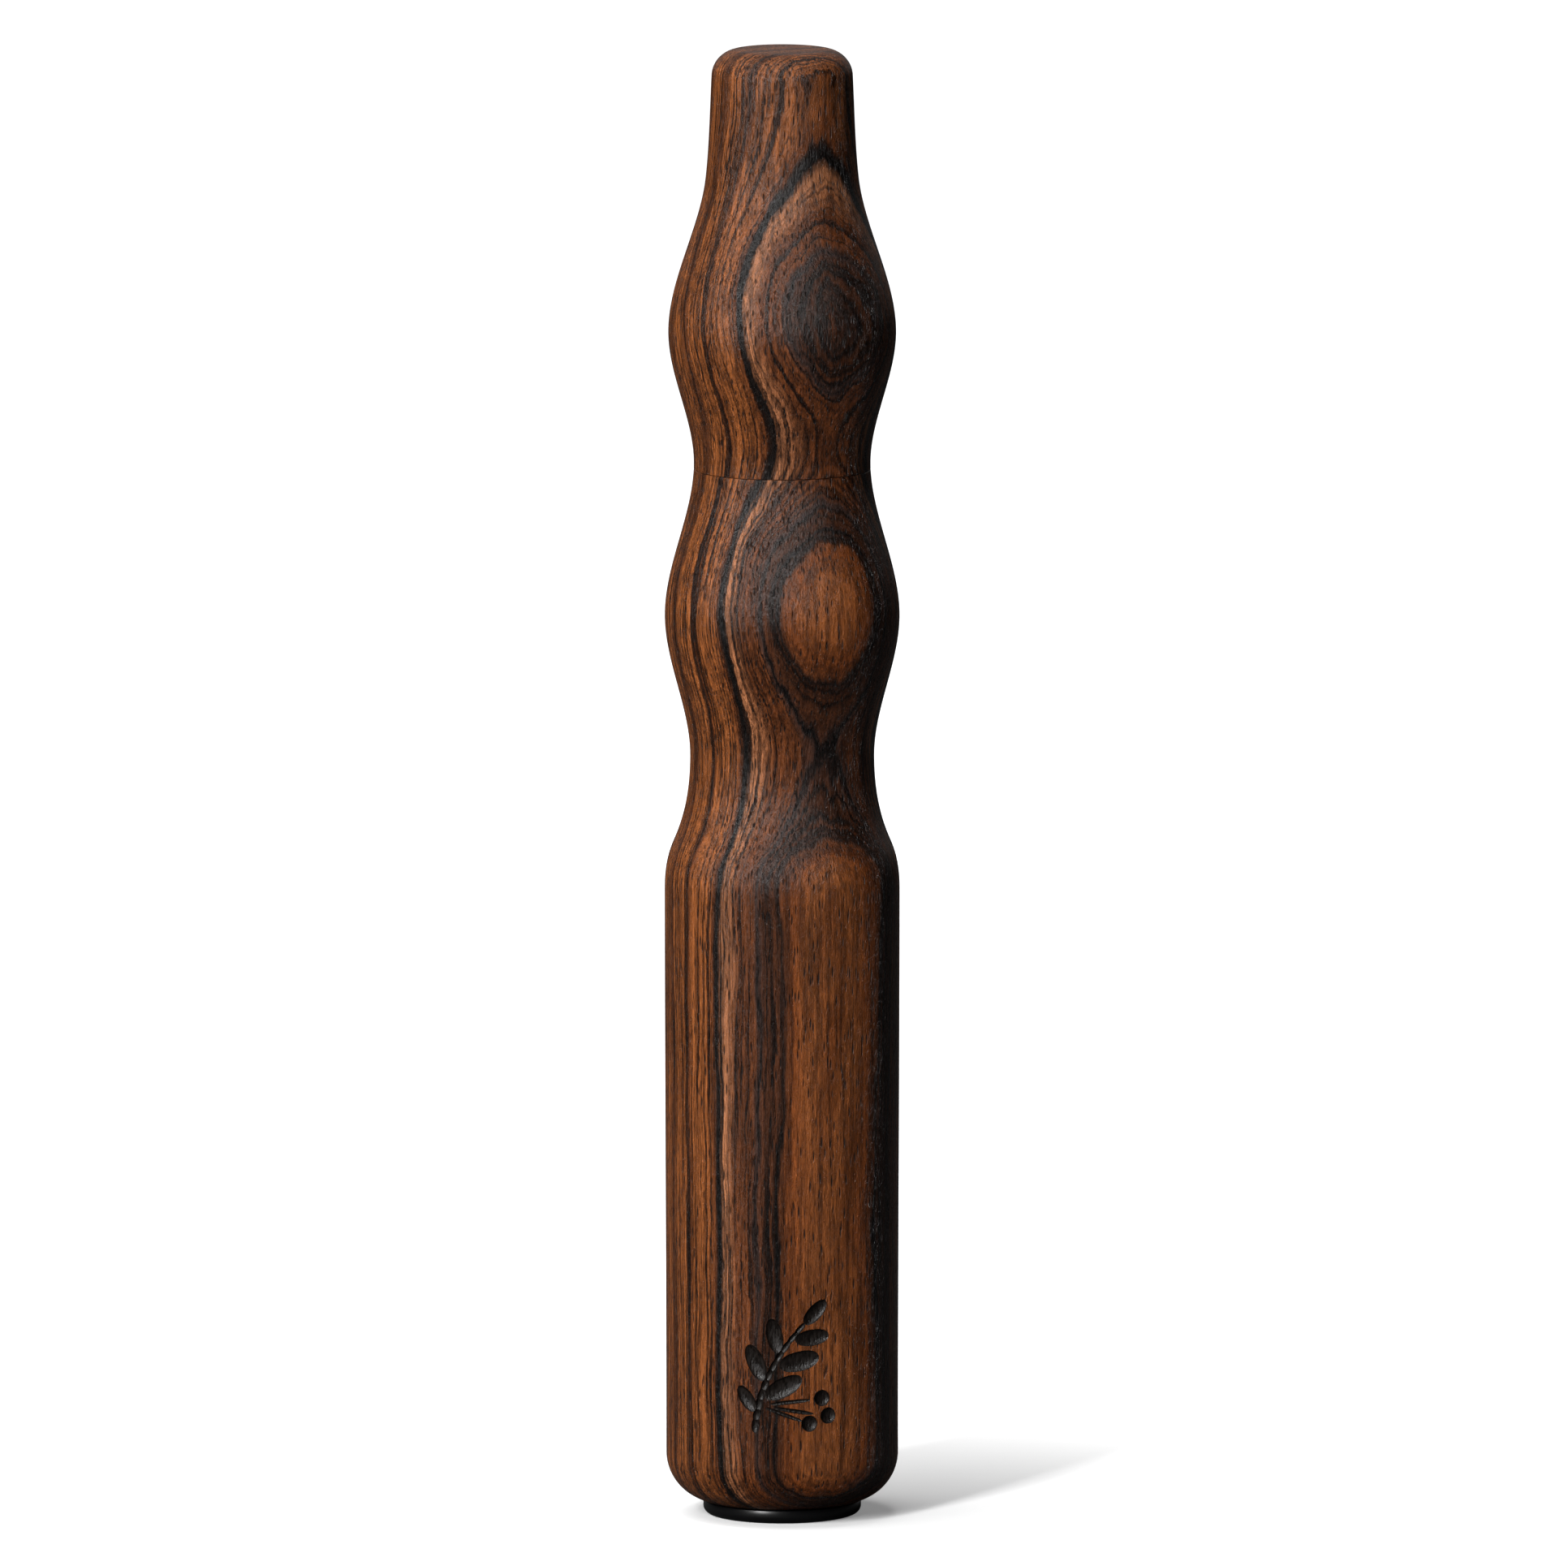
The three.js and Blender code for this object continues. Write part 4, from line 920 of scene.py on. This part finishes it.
# %% Ceramic
ceramic = bpy.data.materials.new("ceramic")
tree, shader = open_material(ceramic)
place = place_in_mm(tree)
speckle = noise(tree, place, 2.4, 4.0, 0.7)
dust = remap(tree, noise(tree, drawn_out(tree, place, 9, 3), 1.0, 4.0), 0.48, 0.68)
inputs = {0: dust, 6: (0.78, 0.74, 0.64, 1), 7: (0.42, 0.33, 0.22, 1)}
dusty = add(tree, "ShaderNodeMix", inputs, data_type="RGBA").outputs[2]
speckled = tint(tree, dusty, remap(tree, speckle, 0.35, 0.65, 0.86, 1.04))
tree.links.new(speckled, shader.inputs["Base Color"])
tree.links.new(maths(tree, "MULTIPLY_ADD", dust, 0.3, 0.42), shader.inputs["Roughness"])
tree.links.new(relief(tree, speckle, 0.04), shader.inputs["Normal"])
print("ceramic has", len(tree.nodes), "nodes")

# %% [markdown]
# The shaft is drawn aluminium, with lines along its length. The small parts are steel that has been
# tumbled with stones, so its scratches run every way. The same noise makes both. Only the length and
# width that it is drawn out to differ.

# %% Metals
def metal(name, colour, dullness, along, across):
    """Scratches this long and this wide, in millimetres. Equal sizes give a tumbled finish."""
    material = bpy.data.materials.new(name)
    tree, shader = open_material(material)
    place = place_in_mm(tree)
    scratches = noise(tree, drawn_out(tree, place, along, across), 1.0, 4.0, 0.65)
    patches = noise(tree, place, 0.25, 2.0)
    clouded = tint(tree, colour, remap(tree, patches, 0.3, 0.7, 0.86, 1.08))
    tree.links.new(clouded, shader.inputs["Base Color"])
    rough = maths(tree, "MULTIPLY_ADD", scratches, 0.28, dullness)
    tree.links.new(maths(tree, "MULTIPLY_ADD", patches, 0.12, rough), shader.inputs["Roughness"])
    tree.links.new(relief(tree, scratches, 0.015), shader.inputs["Normal"])
    shader.inputs["Metallic"].default_value = 1.0
    return material


drawn_aluminium = metal("drawn aluminium", (0.80, 0.81, 0.82), 0.20, 14, 0.12)
tumbled_steel = metal("tumbled steel", (0.55, 0.56, 0.58), 0.18, 0.5, 0.5)

# %% [markdown]
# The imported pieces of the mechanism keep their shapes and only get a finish. Each mesh is cleared of the
# material that it came with first, so that the new one is the only one.

# %% Give the mechanism its finishes
FINISHES = [
    (housing_black, ["housing_lower", "housing_cap", "burr_lifter"]),
    (ceramic, ["outer_burr", "inner_burr"]),
    (acetal, ["burr_driver", "shaft_bush", "head_socket"]),
    (drawn_aluminium, ["drive_shaft"]),
    (tumbled_steel, ["shaft_clip", "shaft_end_screw", "thrust_washer", "snap_ring"]),
    (tumbled_steel, ["flange_screw_1", "flange_screw_2", "flange_screw_3"]),
]
for finish, nodes in FINISHES:
    for node in nodes:
        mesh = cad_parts[node].data
        mesh.materials.clear()
        mesh.materials.append(finish)
    print(finish.name, "for", ", ".join(nodes))
spring.data.materials.append(tumbled_steel)

# %% [markdown]
# ## Studio
# The mill stands on white paper. Paper that is only lit would turn grey far from the lights, so its glow
# grows with the distance from the mill until it is pure white. Seen by the camera the paper is white, but
# what it throws back onto the wood is held low, or the dark wood would turn hazy. The back of the paper is
# clear, so that the underside can be looked at.

# %% Studio floor
FLOOR_RADIUS = 30.0
FLOOR_WHITE = 0.86
FLOOR_BOUNCE = 0.055
GLOW_STARTS = 0.05
GLOW_IS_FULL = 0.30
GLOW_NEAR_MILL = 0.22

deselect_all()
bpy.ops.mesh.primitive_circle_add(vertices=96, radius=FLOOR_RADIUS, fill_type="NGON")
floor = bpy.context.object
floor.name = "floor"
paper = bpy.data.materials.new("paper")
tree, shader = open_material(paper)
place = add(tree, "ShaderNodeTexCoord").outputs["Object"]
distance = add(tree, "ShaderNodeVectorMath", {0: place}, operation="LENGTH").outputs["Value"]
glow = remap(tree, distance, GLOW_STARTS, GLOW_IS_FULL, GLOW_NEAR_MILL, 1.0)
lit = add(tree, "ShaderNodeLightPath").outputs["Is Camera Ray"]
whiteness = remap(tree, lit, 0, 1, FLOOR_BOUNCE, FLOOR_WHITE)
tree.links.new(tint(tree, (1, 1, 1), whiteness), shader.inputs["Base Color"])
shader.inputs["Roughness"].default_value = 1.0
shader.inputs["Specular IOR Level"].default_value = 0.0
shader.inputs["Emission Color"].default_value = (1, 1, 1, 1)
tree.links.new(maths(tree, "MULTIPLY", glow, lit), shader.inputs["Emission Strength"])
clear = add(tree, "ShaderNodeBsdfTransparent").outputs[0]
behind = add(tree, "ShaderNodeNewGeometry").outputs["Backfacing"]
shadow = add(tree, "ShaderNodeLightPath").outputs["Is Shadow Ray"]
see_through = maths(tree, "MAXIMUM", behind, shadow)
paper_or_clear = add(tree, "ShaderNodeMixShader", {0: see_through, 1: shader.outputs[0], 2: clear})
tree.links.new(paper_or_clear.outputs[0], tree.nodes["Material Output"].inputs["Surface"])
floor.data.materials.append(paper)
print("floor", 2 * FLOOR_RADIUS, "m across")

# %% [markdown]
# One tall soft light at the left shapes the mill: the right side falls off into shade, and a soft shadow
# lies at its right. A large light overhead softens that shadow. A sun would be simpler to place, but its
# hard edge would not pass for a studio.

# %% Soft lights
LIGHTS_AIM = 0.2


def soft_light(name, azimuth, elevation, distance, width, height, watts):
    """A rectangular light aimed at the mill. Azimuth 0 is the camera's side, and -90 the left."""
    data = bpy.data.lights.new(name, "AREA")
    data.shape = "RECTANGLE"
    data.size = width
    data.size_y = height
    data.energy = watts
    light = bpy.data.objects.new(name, data)
    bpy.context.collection.objects.link(light)
    across = math.radians(azimuth)
    up = math.radians(elevation)
    level = math.cos(up)
    direction = Vector((math.sin(across) * level, -math.cos(across) * level, math.sin(up)))
    light.location = Vector((0, 0, LIGHTS_AIM)) + distance * direction
    light.rotation_euler = (-direction).to_track_quat("-Z", "Y").to_euler()
    print(name, "at", [round(v, 2) for v in light.location])


soft_light("key", azimuth=-31, elevation=22, distance=1.9, width=0.28, height=1.1, watts=50)
soft_light("overhead", azimuth=-85, elevation=74, distance=2.2, width=2.0, height=2.0, watts=46)

# %% [markdown]
# The burrs sit deep inside the ring, where no studio light reaches. A torch under the paper shines up
# through the ring's bore and nowhere else: its cone is a little narrower than the bore.

# %% Torch for the burrs
TORCH_DEPTH = 0.9
TORCH_WATTS = 16
SHARE_OF_BORE = 0.97

torch_data = bpy.data.lights.new("torch", "SPOT")
torch_data.energy = TORCH_WATTS
torch_data.spot_size = 2 * math.atan(SHARE_OF_BORE * SLEEVE_BORE * MM / TORCH_DEPTH)
torch_data.spot_blend = 0.1
torch_data.shadow_soft_size = 0.004
torch = bpy.data.objects.new("torch", torch_data)
bpy.context.collection.objects.link(torch)
torch.location = (0, 0, -TORCH_DEPTH)
torch.rotation_euler = (math.pi, 0, 0)
print("torch cone", round(math.degrees(torch_data.spot_size), 2), "degrees")

# %% [markdown]
# The room is white to the camera. For the light that falls on the mill it is nearly dark, except for the
# wall behind, which gives both sides a thin pale rim. An even white room would be one setting, but it
# would wash out the shade at the right.

# %% Room
ROOM_SIDES = 0.018
ROOM_BEHIND = 0.28

world = bpy.context.scene.world or bpy.data.worlds.new("world")
bpy.context.scene.world = world
world.use_nodes = True
sky = world.node_tree
background = sky.nodes["Background"]
background.inputs["Color"].default_value = (1, 1, 1, 1)
seen = add(sky, "ShaderNodeLightPath").outputs["Is Camera Ray"]
direction = add(sky, "ShaderNodeTexCoord").outputs["Generated"]
backwards = add(sky, "ShaderNodeSeparateXYZ", {0: direction}).outputs[1]
room = remap(sky, backwards, 0.6, 1.0, ROOM_SIDES, ROOM_BEHIND)
sky.links.new(maths(sky, "MAXIMUM", seen, room), background.inputs["Strength"])
bpy.context.scene.view_settings.view_transform = "Standard"
print("room light", ROOM_SIDES, "at the sides and", ROOM_BEHIND, "behind")
